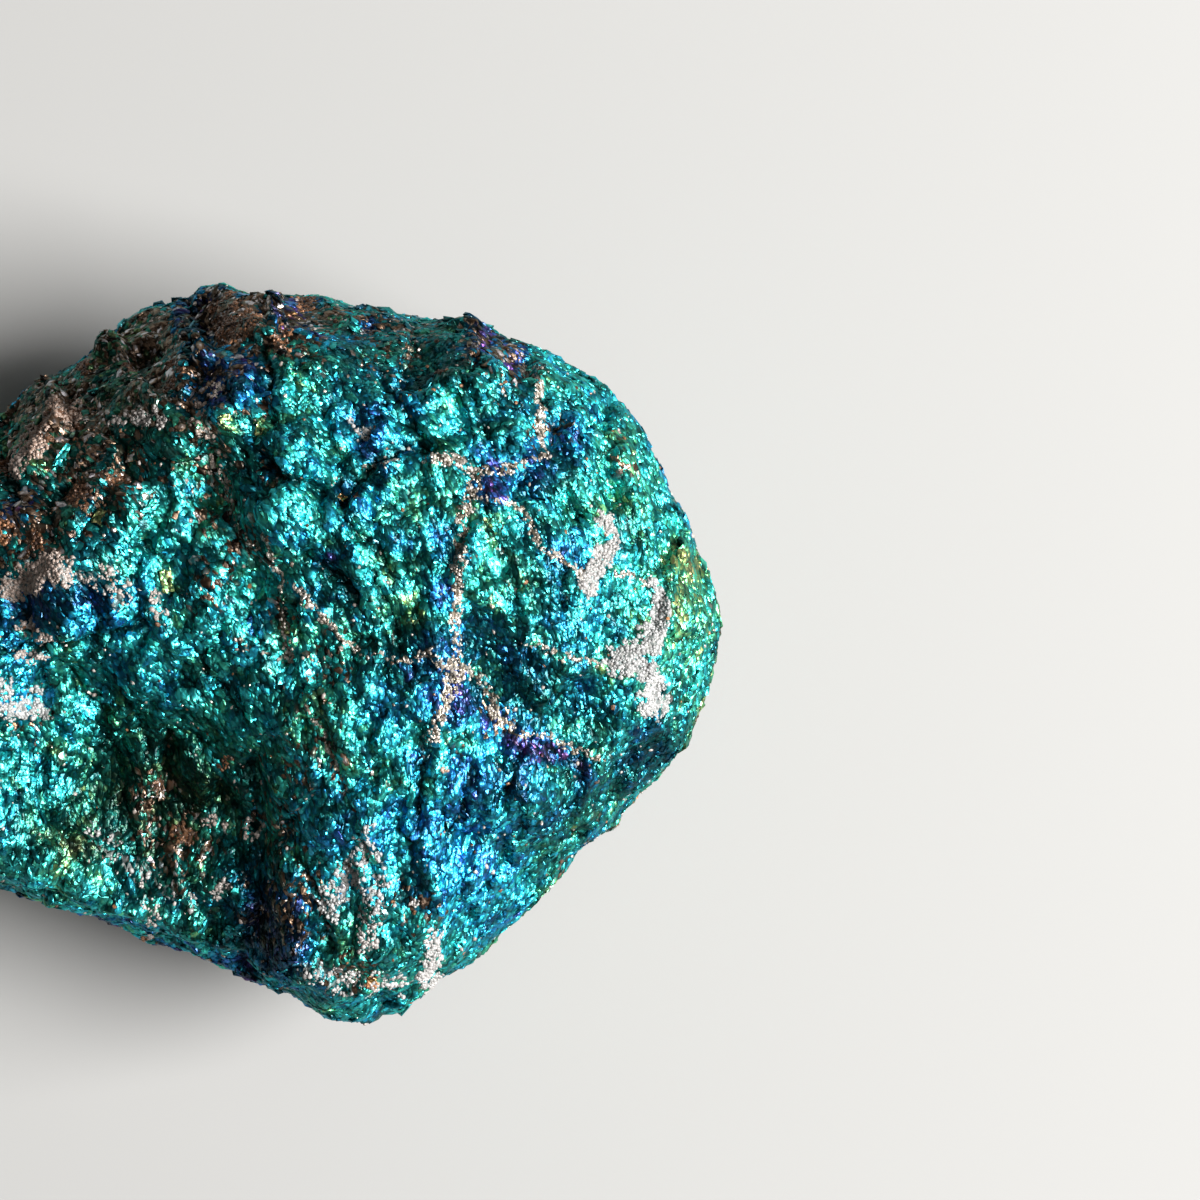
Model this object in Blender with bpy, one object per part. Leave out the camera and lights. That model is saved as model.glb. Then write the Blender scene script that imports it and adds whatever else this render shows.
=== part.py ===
"""Peacock ore: one rough piece of tarnished chalcopyrite, lying on its back with its broad face up.

Metres, +Z up, +X along the stone's length. The origin is under the middle of the stone, on the
plane that it rests on. The stone is a ball of clay-like points that is drawn out to the stone's
outline, pressed to the heights of its front and its underside, dented, roughened, and set down
on one flat break.
"""

import math

import bmesh
import bpy
import numpy as np
from mathutils import Vector, noise

MM = 0.001

# Driving dimensions of the whole stone.
LENGTH = 47.4 * MM
WIDTH = 36.8 * MM
THICKNESS = 24.0 * MM

# The outline seen from above, anticlockwise from the right end, in millimetres from the middle.
OUTLINE_MM = (
    (23.7, 1.6), (23.3, 4.4), (22.4, 7.1), (20.6, 10.4), (18.1, 13.0), (15.2, 14.7),
    (12.1, 15.8), (11.0, 16.3), (6.3, 16.4), (4.3, 17.3), (0.3, 18.4), (-1.7, 18.2),
    (-2.1, 17.4), (-4.7, 17.1), (-6.7, 14.8), (-9.2, 12.9), (-12.2, 10.5), (-15.4, 8.9),
    (-19.7, 6.4), (-22.7, 2.6), (-23.7, -1.5), (-22.3, -5.6), (-18.2, -9.1), (-12.2, -11.4),
    (-7.2, -13.2), (-4.2, -14.7), (-2.2, -14.9), (0.3, -15.9), (2.8, -16.8), (4.6, -18.0),
    (6.8, -18.4), (9.1, -17.5), (11.4, -15.6), (14.6, -12.7), (16.5, -10.3), (18.6, -9.0),
    (19.8, -7.2), (22.3, -4.2), (23.4, -2.0),
)

# The widest level of the stone: a mean height, how much it climbs towards the right end, and the
# waves in it round the rim, each with its height, how many go round, and where it starts.
RIM_HEIGHT = 10.2 * MM
RIM_CLIMB = 2.2 * MM
RIM_WAVES = ((1.6 * MM, 2, 0.6), (0.8 * MM, 3, -1.0))

# How squarely the sides turn into the front and the underside. Larger is squarer.
FRONT_SQUARENESS_RIGHT = 8.5
FRONT_SQUARENESS_LEFT = 9.6
UNDER_SQUARENESS = 7.5

# The front's one domed face: where its top is, and how tightly it curves each way from there.
DOME_TOP = (8.0 * MM, 3.0 * MM, THICKNESS)
DOME_RADIUS_RIGHT = 32.0 * MM
DOME_RADIUS_LEFT = 90.0 * MM
DOME_RADIUS_ACROSS = 34.0 * MM

# The front's flatter breaks: a point on each in millimetres, then how it climbs along X and Y.
FRONT_BREAKS = {
    "lower right shoulder": ((15.0, -4.5, 21.4), (-0.22, 0.36)),
    "top bevel": ((5.0, 14.8, 21.0), (-0.02, -1.6)),
    "left flank": ((2.0, 2.8, 22.4), (0.27, 0.09)),
    "upper left slope": ((-6.0, 11.0, 19.4), (0.50, -0.70)),
    "far end": ((-16.5, 0.0, 17.4), (0.46, 0.05)),
    "lower left skirt": ((-5.0, -12.0, 17.6), (0.16, 0.44)),
}
# The underside's breaks, which climb away from the flat one that the stone rests on.
UNDER_BREAKS = {
    "right": ((12.5, 0.0, 0.0), (0.42, 0.08)),
    "far end": ((-12.0, 0.0, 0.0), (-0.46, 0.10)),
    "top": ((0.0, 10.2, 0.0), (0.06, 0.60)),
    "bottom": ((0.0, -10.0, 0.0), (-0.08, -0.52)),
    "top right": ((11.0, 8.0, 0.0), (0.36, 0.40)),
    "bottom left": ((-9.5, -7.5, 0.0), (-0.30, -0.36)),
}
BREAK_SOFTNESS = 0.4 * MM
UNDER_DEPTH = -0.7 * MM

# Hollows and swellings of the front: centre, half length, half width (mm), turn (degrees), height
# (mm). Each has a flat middle and a steep edge, more so with a larger power.
DENT_POWER = 1.5
DENTS = {
    "great hollow": ((-2.4, -7.2), 7.4, 4.4, -28.0, -4.6),
    "hollow's far wall": ((4.4, -6.6), 3.4, 1.3, -66.0, 0.9),
    "basin beside the vein": ((15.2, -2.6), 3.8, 1.9, -24.0, -1.1),
    "dent under the top edge": ((9.0, 14.6), 2.6, 1.3, 0.0, -0.9),
    "furrow left of the ridge": ((1.0, 5.0), 6.5, 1.0, -64.0, -0.9),
    "left lobe": ((-10.2, 0.8), 4.4, 3.0, 20.0, 1.3),
    "gap at the left": ((-12.2, 7.6), 1.3, 2.4, 0.0, -1.8),
    "shelf": ((-6.5, 4.5), 3.8, 2.2, 60.0, 0.9),
    "bottom knob": ((6.6, -16.0), 3.0, 1.8, 20.0, 1.2),
    "bottom saddle": ((-0.6, -13.0), 3.6, 1.6, -20.0, -1.5),
    "far dent": ((-18.0, 3.0), 3.2, 2.2, 30.0, -1.2),
}

# Slices that broke off the sides and the underside: heading, tilt (degrees), thickness (mm).
SLICES = {
    "right underside": (-8.0, -34.0, 2.2),
    "bottom right underside": (-47.0, -40.0, 2.6),
    "far end underside": (188.0, -30.0, 1.0),
    "far end shoulder": (172.0, 24.0, 1.4),
    "top underside": (78.0, -36.0, 2.0),
    "top left underside": (128.0, -24.0, 1.4),
    "top left shoulder": (122.0, 26.0, 1.0),
    "bottom left underside": (244.0, -30.0, 2.0),
}

# Roughness of the broken surface: the size of its largest bumps, how deep they are, and the sharp
# creases between them.
ROUGH_SIZE = 6.5 * MM
ROUGH_DEPTH = 0.55 * MM
ROUGH_OCTAVES = 4
ROUGH_GAIN = 0.9
ROUGH_LACUNARITY = 2.1
CREASE_SIZE = 3.8 * MM
CREASE_DEPTH = 0.88 * MM
CREASE_SHIFT = Vector((5.1, 2.3, 7.7))

# How finely the ball is divided, and the share of its triangles that is kept.
BALL_SUBDIVISIONS = 6
KEPT_SHARE = 0.34


def outline_reach(azimuths):
    """How far the outline lies from the middle in each direction, along its straight stretches."""
    points = np.array(OUTLINE_MM) * MM
    angles = np.arctan2(points[:, 1], points[:, 0])
    order = np.argsort(angles)
    points, angles = points[order], angles[order]
    after = np.searchsorted(angles, azimuths) % len(points)
    start, end = points[after - 1], points[after]
    along = end - start
    ray = np.stack([np.cos(azimuths), np.sin(azimuths)], axis=1)
    across = start[:, 0] * along[:, 1] - start[:, 1] * along[:, 0]
    return across / (ray[:, 0] * along[:, 1] - ray[:, 1] * along[:, 0])


def break_heights(breaks, x, y):
    """The height of each flat break over every point (x, y)."""
    heights = []
    for (at_x, at_y, at_z), (climb_x, climb_y) in breaks.values():
        heights.append(at_z * MM + climb_x * (x - at_x * MM) + climb_y * (y - at_y * MM))
    return heights


def lowest_of(heights):
    """The lower envelope of several heights, rounded where they meet."""
    scaled = np.stack(heights) / -BREAK_SOFTNESS
    return -BREAK_SOFTNESS * np.logaddexp.reduce(scaled, axis=0)


def dent_heights(x, y):
    """What the hollows and swellings add to the front."""
    total = np.zeros_like(x)
    for (at_x, at_y), length, width, turn, height in DENTS.values():
        away_x, away_y = x - at_x * MM, y - at_y * MM
        cos, sin = math.cos(math.radians(turn)), math.sin(math.radians(turn))
        along = (away_x * cos + away_y * sin) / (length * MM)
        across = (away_y * cos - away_x * sin) / (width * MM)
        total += height * MM * np.exp(-((along**2 + across**2) ** DENT_POWER))
    return total


def front_height(x, y):
    top_x, top_y, top_z = DOME_TOP
    along = np.where(x > top_x, DOME_RADIUS_RIGHT, DOME_RADIUS_LEFT)
    dome = top_z - (x - top_x) ** 2 / (2 * along) - (y - top_y) ** 2 / (2 * DOME_RADIUS_ACROSS)
    return lowest_of([dome, *break_heights(FRONT_BREAKS, x, y)]) + dent_heights(x, y)


def under_height(x, y):
    rest = np.full_like(x, UNDER_DEPTH)
    lifted = break_heights(UNDER_BREAKS, x, y)
    return -lowest_of([-height for height in [rest, *lifted]])


def drawn_out(ball):
    """The ball's points moved to the stone's outline, front and underside."""
    azimuth = np.arctan2(ball[:, 1], ball[:, 0])
    outward = np.clip(np.hypot(ball[:, 0], ball[:, 1]), 0.0, 1.0)
    reach = outline_reach(azimuth) * outward
    x, y = reach * np.cos(azimuth), reach * np.sin(azimuth)
    rim = RIM_HEIGHT + RIM_CLIMB * np.cos(azimuth)
    for height, number, start in RIM_WAVES:
        rim += height * np.sin(number * azimuth + start)
    leftness = (1.0 - np.cos(azimuth)) / 2
    squareness = FRONT_SQUARENESS_RIGHT * (1.0 - leftness) + FRONT_SQUARENESS_LEFT * leftness
    rise = np.sqrt(1.0 - outward**squareness)
    drop = np.sqrt(1.0 - outward**UNDER_SQUARENESS)
    front = rim + (front_height(x, y) - rim) * rise
    under = rim + (under_height(x, y) - rim) * drop
    return np.stack([x, y, np.where(ball[:, 2] >= 0.0, front, under)], axis=1)


def direction(heading, tilt):
    """The unit vector at a compass heading from +X and a tilt above the horizon, in degrees."""
    heading, tilt = math.radians(heading), math.radians(tilt)
    flat = math.cos(tilt)
    return np.array([flat * math.cos(heading), flat * math.sin(heading), math.sin(tilt)])


def sliced(points):
    """Presses flat whatever stands outside each slice."""
    for heading, tilt, thickness in SLICES.values():
        normal = direction(heading, tilt)
        reach = points @ normal
        outside = np.maximum(reach - (reach.max() - thickness * MM), 0.0)
        points = points - outside[:, None] * normal
    return points


def roughened(points, normals):
    """Breaks the surface up along its normals with bumps and the creases between them."""
    moved = points.copy()
    for i, (point, normal) in enumerate(zip(points, normals)):
        at = Vector(point)
        bump = noise.fractal(at / ROUGH_SIZE, ROUGH_GAIN, ROUGH_LACUNARITY, ROUGH_OCTAVES)
        crease = abs(noise.noise(at / CREASE_SIZE + CREASE_SHIFT))
        moved[i] += normal * (ROUGH_DEPTH * bump - CREASE_DEPTH * crease)
    return moved


def outward_normals(mesh_data):
    mesh_data.normal_update()
    return np.array([vertex.normal for vertex in mesh_data.verts])


def place(mesh_data, points):
    for vertex, point in zip(mesh_data.verts, points):
        vertex.co = point


def set_down(points):
    """Brings the stone to its size over the origin, and flattens the break that it rests on."""
    points[:, 2] = np.maximum(points[:, 2], 0.0)
    low, high = points.min(axis=0), points.max(axis=0)
    foot = np.array([(low[0] + high[0]) / 2, (low[1] + high[1]) / 2, low[2]])
    return (points - foot) * np.array([LENGTH, WIDTH, THICKNESS]) / (high - low)


def tarnish_material():
    material = bpy.data.materials.new("tarnished_chalcopyrite")
    material.use_nodes = True
    surface = material.node_tree.nodes["Principled BSDF"]
    surface.inputs["Base Color"].default_value = (0.02, 0.30, 0.30, 1.0)
    surface.inputs["Metallic"].default_value = 0.8
    surface.inputs["Roughness"].default_value = 0.4
    return material


def thinned(mesh):
    """The mesh with fewer triangles where it is nearly flat, and again flat underneath."""
    holder = bpy.data.objects.new("thinning", mesh)
    bpy.context.scene.collection.objects.link(holder)
    holder.modifiers.new("fewer flat triangles", "DECIMATE").ratio = KEPT_SHARE
    evaluated = holder.evaluated_get(bpy.context.evaluated_depsgraph_get())
    result = bpy.data.meshes.new_from_object(evaluated)
    bpy.data.objects.remove(holder)
    points = np.array([vertex.co for vertex in result.vertices])
    result.vertices.foreach_set("co", set_down(points).ravel())
    return result


def build_stone():
    mesh_data = bmesh.new()
    bmesh.ops.create_icosphere(mesh_data, subdivisions=BALL_SUBDIVISIONS, radius=1.0)
    ball = np.array([vertex.co.normalized() for vertex in mesh_data.verts])
    place(mesh_data, sliced(drawn_out(ball)))
    points = np.array([vertex.co for vertex in mesh_data.verts])
    place(mesh_data, set_down(roughened(points, outward_normals(mesh_data))))
    bmesh.ops.recalc_face_normals(mesh_data, faces=mesh_data.faces)
    full_mesh = bpy.data.meshes.new("every triangle")
    mesh_data.to_mesh(full_mesh)
    mesh_data.free()
    mesh = thinned(full_mesh)
    mesh.name = "ore_stone"
    mesh.materials.append(tarnish_material())
    stone = bpy.data.objects.new("ore_stone", mesh)
    bpy.context.scene.collection.objects.link(stone)


def main():
    for old in list(bpy.data.objects):
        bpy.data.objects.remove(old)
    build_stone()


main()
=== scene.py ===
"""Peacock ore: the tarnished, granular surface of one rough piece of chalcopyrite, and its studio.

Metres, +Z up, in the stone's own frame. The broad broken face looks up. Places on that face are
given in millimetres as they look from straight above, on the level of the stone's rim.
"""

import itertools
import math

import bmesh
import bpy
import numpy as np
from bpy.props import FloatProperty, FloatVectorProperty, PointerProperty
from bpy.types import Operator, Panel, PropertyGroup
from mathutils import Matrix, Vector, noise


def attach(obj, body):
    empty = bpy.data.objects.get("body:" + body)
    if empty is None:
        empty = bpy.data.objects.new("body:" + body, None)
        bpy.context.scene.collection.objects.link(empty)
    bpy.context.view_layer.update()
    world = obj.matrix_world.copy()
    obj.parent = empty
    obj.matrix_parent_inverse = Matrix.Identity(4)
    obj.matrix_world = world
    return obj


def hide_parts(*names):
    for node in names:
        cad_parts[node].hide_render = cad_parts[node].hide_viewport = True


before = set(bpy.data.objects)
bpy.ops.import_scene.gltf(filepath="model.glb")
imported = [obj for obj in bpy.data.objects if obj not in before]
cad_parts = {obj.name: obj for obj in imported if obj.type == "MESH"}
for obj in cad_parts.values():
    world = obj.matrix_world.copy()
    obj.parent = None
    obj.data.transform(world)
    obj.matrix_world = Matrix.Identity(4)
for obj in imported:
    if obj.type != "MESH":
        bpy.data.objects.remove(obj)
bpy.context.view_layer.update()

bl_info = {
    "name": "Peacock Ore",
    "version": (1, 0, 0),
    "blender": (4, 5, 0),
    "location": "3D View > Sidebar > Peacock Ore",
    "description": "Builds a rough piece of tarnished chalcopyrite in a small studio",
    "category": "Add Mesh",
}

MM = 0.001
NODE = "ore_stone"

# Where the eye hangs over the broad face, in metres.
EYE = Vector((17.8 * MM, 2.55 * MM, 234.5 * MM))
RIM_LEVEL = 9.5 * MM

# Cells by which veins, quartz and rust break up at their edges, and how sure a cell must be.
CELL = 0.22 * MM
FILLED = 0.45

# The heights above the table between which the relief comes in, so that the stone rests flat,
# and those between which the broad face's own marks come in.
RELIEF_RISES = (0.05 * MM, 0.6 * MM)
FACE_RISES = (5.0 * MM, 8.0 * MM)
# The height above the table where grains begin, and the lowest level of the broad face's grains.
GRAINS_BEGIN = 1.2 * MM
FACE_BEGINS = 6.0 * MM
# Where the finer grains of the right meet the coarser ones of the left.
LEFT_ENDS = 3.0 * MM
# The kinds of grain: how far each reaches along, across and up.
GRAIN_REACHES = ((1.2, 1.0, 0.60), (1.4, 0.9, 0.56), (1.1, 1.0, 0.52), (1.7, 0.8, 0.50))
# How far apart the grains of each area are, in grain sizes, and their own size in those spaces.
RIGHT_SPACING = 1.1
LEFT_SPACING = 1.3
SIDE_SPACING = 2.0
GRAIN_SHARE = 1.06
# How far grains and crumbs tilt by chance, and how deep they are sunk as a share of their size.
GRAIN_TILT = 0.18
CRUMB_TILT = 0.8
SUNK = 0.12

# Sizes of the noises that fray edges and let colours drift over the stone.
FINE_FRAY = 0.35 * MM
FRAY = 0.8 * MM
MOTTLE = 1.3 * MM
DRIFT = 3.0 * MM
SWELL = 9.0 * MM
# The size of the bends in the chips' edges, and how far they bend.
BEND_SIZE = 2.4 * MM
BEND = 0.5 * MM
# Chips, flakes and lumps: height, tilt and dish of each kind, and how long the last two are drawn.
CHIPS = (0.50, 0.30, 0.32)
FLAKES = (0.60, 0.42, 0.34)
FLAKES_DRAWN = 3.8
LUMPS = (-0.80, 0.42, 0.34)
LUMPS_DRAWN = 3.4
# How often the long edges of the mesh are split, and how many of these rounds smooth it too.
SPLITS = 7
SMOOTHED_SPLITS = 4
# How many points are spread over the stone to choose the places of grains, plates and crumbs from.
GRAIN_POINTS = 400000
PLATE_POINTS = 200000
CRUMB_POINTS = 900000

# How steep a fully leaning break is.
BREAK_SLOPE = 0.50
# Where the fracture that bared the broad face began, and its heading from there to the middle.
# Textures, grains and streaks of painted shade are drawn out along arcs round that place, this
# many times, and the streaks are this wide.
FRACTURE_START = np.array((-26.0, -8.0)) * MM
FRACTURE_HEADING = math.radians(17.0)
DRAWN_OUT = 2.0
GRAINS_DRAWN = 1.3
STREAKS_DRAWN = 2.6
STREAK = 1.1 * MM

# Pale veins on the broad face: points along each in millimetres, half width, how proud it is and
# how full of beads.
VEINS = (
    (((14.2, 14.8), (14.8, 12.6), (15.2, 10.1)), 0.15, 0.08, 1.0),
    (((6.1, 9.3), (7.8, 9.6)), 0.13, 0.06, 0.6),
    (((9.0, 9.6), (10.6, 9.5), (11.6, 8.8)), 0.22, 0.06, 0.9),
    (((11.6, 8.8), (11.4, 8.0), (11.0, 6.6)), 0.32, 0.05, 1.0),
    (((11.0, 6.6), (10.8, 5.6), (10.6, 2.6), (10.7, -0.2)), 0.26, 0.06, 0.92),
    (((10.7, -0.2), (10.4, -1.5), (9.8, -3.2), (9.2, -4.2)), 0.3, 0.02, 0.7),
    (((11.6, 8.8), (13.3, 9.1), (15.2, 9.9)), 0.2, 0.05, 0.75),
    (((5.6, -0.2), (8.0, -0.4), (9.0, -0.1), (9.6, 0.1)), 0.12, 0.07, 0.75),
    (((9.4, 0.1), (9.8, -0.6), (10.8, -0.7), (11.8, -1.4), (12.6, -2.5)), 0.2, 0.07, 1.0),
    (
        ((12.6, -2.5), (12.7, -3.2), (13.8, -4.2), (15.1, -4.2), (16.3, -4.7), (17.8, -5.5)),
        0.15, 0.06, 0.8,
    ),
    (((-2.4, 11.1), (-1.6, 9.0), (-0.4, 6.6)), 0.18, 0.05, 0.54),
    (((-0.2, 6.1), (0.8, 5.1), (1.8, 3.7), (2.0, 2.2), (2.2, -0.5)), 0.15, 0.1, 0.84),
    (((1.2, 6.0), (1.4, 5.3), (1.7, 4.5)), 0.12, 0.1, 1.2),
    (((2.6, 3.2), (3.5, 2.2), (4.1, 1.6), (4.7, 0.6), (5.6, 0.1)), 0.13, 0.12, 1.05),
    (((3.1, -2.7), (4.1, -4.5), (4.6, -5.8), (5.1, -7.0)), 0.1, 0.07, 0.7),
    (((11.9, 7.6), (12.8, 7.4), (13.8, 7.1), (14.8, 5.1), (15.8, 4.6), (17.1, 3.8)), 0.14, 0.04, 0.72),
    (((13.8, 0.6), (15.1, 0.1), (17.8, -0.7)), 0.12, 0.04, 0.8),
    (((18.4, 4.1), (19.6, 3.6), (20.4, 3.3)), 0.12, 0.04, 0.62),
    (((-0.9, 0.6), (0.6, 0.0), (2.3, -0.5)), 0.16, 0.05, 0.54),
)
# Quartz on the broad face: how stained and how full each patch is, then points along it in
# millimetres with the patch's radius there.
QUARTZ = (
    (0.1, 1.4, ((17.8, 6.6, 0.15), (18.5, 5.8, 0.2), (18.7, 5.2, 0.22), (18.1, 4.8, 0.25),
                (17.6, 4.0, 0.55), (17.3, 3.3, 0.38))),
    (0.0, 1.4, ((20.4, 3.4, 0.15), (20.8, 2.7, 0.24), (20.8, 2.0, 0.34), (20.6, 1.1, 0.34),
                (20.1, 0.3, 0.4), (19.4, -0.2, 0.5), (18.7, -0.6, 0.4))),
    (0.0, 1.4, ((19.4, -0.2, 0.45), (20.1, -1.0, 0.4), (20.4, -1.9, 0.75), (20.6, -2.5, 0.62),
                (20.7, -3.2, 0.18))),
    (0.1, 1.2, ((9.3, -13.7, 0.16), (9.3, -14.6, 0.24), (9.2, -15.5, 0.36), (9.3, -16.4, 0.46),
                (9.2, -17.0, 0.3))),
    (0.6, 1.2, ((-8.9, 4.1, 0.45), (-9.6, 4.3, 0.7), (-10.6, 3.6, 0.85), (-11.7, 3.2, 0.5))),
    (0.4, 0.5, ((-8.2, 3.8, 0.3), (-7.2, 3.9, 0.6), (-6.2, 3.4, 0.6), (-5.8, 2.6, 0.4))),
    (0.0, 0.9, ((-10.0, -3.0, 0.3), (-10.8, -2.8, 0.46), (-11.7, -2.7, 0.5), (-12.2, -1.5, 0.34),
                (-13.6, -1.2, 0.5))),
    (0.5, 0.8, ((-11.0, 1.3, 0.3), (-10.2, 0.9, 0.4), (-9.6, 0.6, 0.34))),
    (0.4, 0.9, ((-10.8, -0.5, 0.44), (-10.4, -0.9, 0.4))),
    (0.2, 0.9, ((-3.9, 11.3, 0.26), (-4.6, 11.6, 0.34), (-5.3, 11.6, 0.28))),
    (0.3, 0.6, ((-6.0, 11.8, 0.2), (-6.8, 11.6, 0.2))),
    (0.6, 0.9, ((-10.4, 10.6, 0.3), (-11.0, 9.6, 0.34), (-11.4, 8.9, 0.28))),
    (0.8, 1.3, ((-8.6, 12.2, 0.34), (-9.1, 11.4, 0.4), (-9.9, 10.6, 0.34), (-10.4, 9.9, 0.24))),
    (0.4, 0.8, ((-4.4, 2.6, 0.3), (-4.2, 2.0, 0.24))),
    (0.1, 0.8, ((5.8, 11.0, 0.2), (5.2, 11.7, 0.14))),
    (0.4, 0.7, ((-1.2, 14.2, 0.16), (-1.5, 12.9, 0.22))),
    (0.0, 0.58, ((6.6, -8.6, 0.2), (6.2, -9.8, 0.5), (5.2, -11.4, 0.7), (4.2, -12.6, 0.7))),
    (0.0, 0.58, ((7.0, -11.2, 0.4), (6.6, -12.4, 0.6), (6.0, -13.8, 0.5))),
    (0.1, 0.41, ((-7.4, -8.6, 0.5), (-6.0, -10.2, 0.6), (-4.6, -11.6, 0.7), (-2.6, -12.2, 0.6))),
    (0.3, 0.5, ((-4.8, -12.2, 0.34), (-4.5, -13.2, 0.3), (-4.8, -14.4, 0.26))),
    (0.2, 0.6, ((6.3, -14.0, 0.3), (6.0, -14.8, 0.3))),
    (0.2, 0.6, ((8.6, -12.3, 0.22), (8.2, -12.7, 0.2))),
    (0.3, 0.6, ((-0.7, -11.5, 0.26), (-1.3, -12.2, 0.26))),
    (0.5, 0.5, ((-0.5, -9.0, 0.2), (-1.9, -8.3, 0.24))),
    (0.1, 0.44, ((3.2, -15.8, 0.5), (5.0, -16.4, 0.6), (7.6, -16.4, 0.6))),
    (0.6, 0.43, ((-2.4, 12.4, 0.4), (-1.6, 9.4, 0.4), (-0.8, 7.2, 0.36))),
    (1.0, 0.9, ((10.2, -6.2, 0.2),)),
)
# The small ring of quartz round a pit: place, radius, width.
RING = (0.35, -8.9, 0.44, 0.12)
# Bright cleavage plates on the broad face: place, length and width in millimetres, heading in
# degrees, tarnish thickness.
PLATES = (
    (-7.9, 6.3, 1.0, 0.5, 60.0, 0.56), (-7.2, 6.7, 0.8, 0.6, 60.0, 0.98),
    (-5.2, 6.1, 1.7, 0.6, 52.0, 0.66), (-4.6, 7.1, 1.3, 0.6, 50.0, 0.69),
    (-9.1, 9.8, 1.3, 0.5, 58.0, 0.64), (-4.0, 3.5, 1.1, 0.6, 100.0, 0.9),
    (-7.9, 1.6, 1.2, 0.7, 150.0, 0.48), (-2.8, 0.1, 1.0, 0.8, 0.0, 0.55),
    (-11.0, -1.1, 1.4, 0.9, 70.0, 0.53), (-9.6, -2.2, 1.6, 0.9, 20.0, 0.5),
    (-7.9, -3.0, 1.2, 0.8, 140.0, 0.56), (0.4, 1.2, 1.0, 0.7, 130.0, 0.4),
    (-11.7, 0.5, 0.9, 0.7, 45.0, 0.46), (-0.9, 11.6, 0.6, 0.4, 20.0, 0.91),
    (0.8, 11.2, 0.9, 0.4, 75.0, 0.9), (-10.9, -6.2, 1.3, 0.8, 70.0, 0.64),
    (-9.2, -7.0, 1.1, 0.7, 110.0, 0.62), (6.4, -16.4, 0.5, 0.4, 30.0, 0.02),
    (5.0, 7.8, 0.5, 0.4, 50.0, 0.0), (-3.6, 4.9, 0.9, 0.5, 40.0, 0.6),
    (-6.1, 5.2, 0.9, 0.4, 55.0, 0.6), (-6.8, -2.2, 0.9, 0.6, 80.0, 0.58),
    (-12.0, -4.6, 1.1, 0.7, 60.0, 0.6), (-2.4, 3.0, 0.7, 0.5, 120.0, 0.6),
    (-1.8, -1.6, 0.8, 0.5, 110.0, 0.57), (2.9, 12.4, 0.8, 0.5, 60.0, 0.66),
)
# A plate's share of the length and width given, and how deep it sits.
PLATE_SHARE = 0.9
PLATE_SUNK = 0.02 * MM
# The way a plate must face to throw the key light at the eye.
GLINT = np.array((0.4, -0.04, 0.92))

# How far the grains of the steep right rim turn up, like treads of small steps.
RIM_TREAD = np.array((0.0, 0.0, 0.9))

# Rust on the broad face: place, radius.
RUST = (
    ((-9.1, 11.8), 0.8), ((-9.8, 10.6), 0.55), ((-3.6, 13.7), 0.7), ((-5.6, 14.0), 0.35),
    ((-8.2, 7.8), 0.7), ((-6.4, 8.4), 0.6), ((-5.9, 10.0), 0.35), ((-0.6, 16.6), 1.3),
    ((2.2, 16.0), 0.5), ((1.8, 15.4), 0.4), ((3.0, 17.6), 0.55), ((5.5, 7.8), 0.24),
    ((-3.0, -9.1), 0.75), ((-4.4, -6.6), 0.35), ((6.4, -16.4), 0.4), ((-10.4, 5.4), 0.6),
    ((-12.4, 6.0), 0.9), ((-12.6, 9.6), 0.8), ((-7.9, 14.2), 0.5), ((10.0, 13.9), 0.4),
    ((-1.0, -5.6), 0.4), ((1.6, 5.7), 0.22), ((8.4, -12.7), 0.2), ((-4.9, -14.6), 0.35),
)
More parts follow.
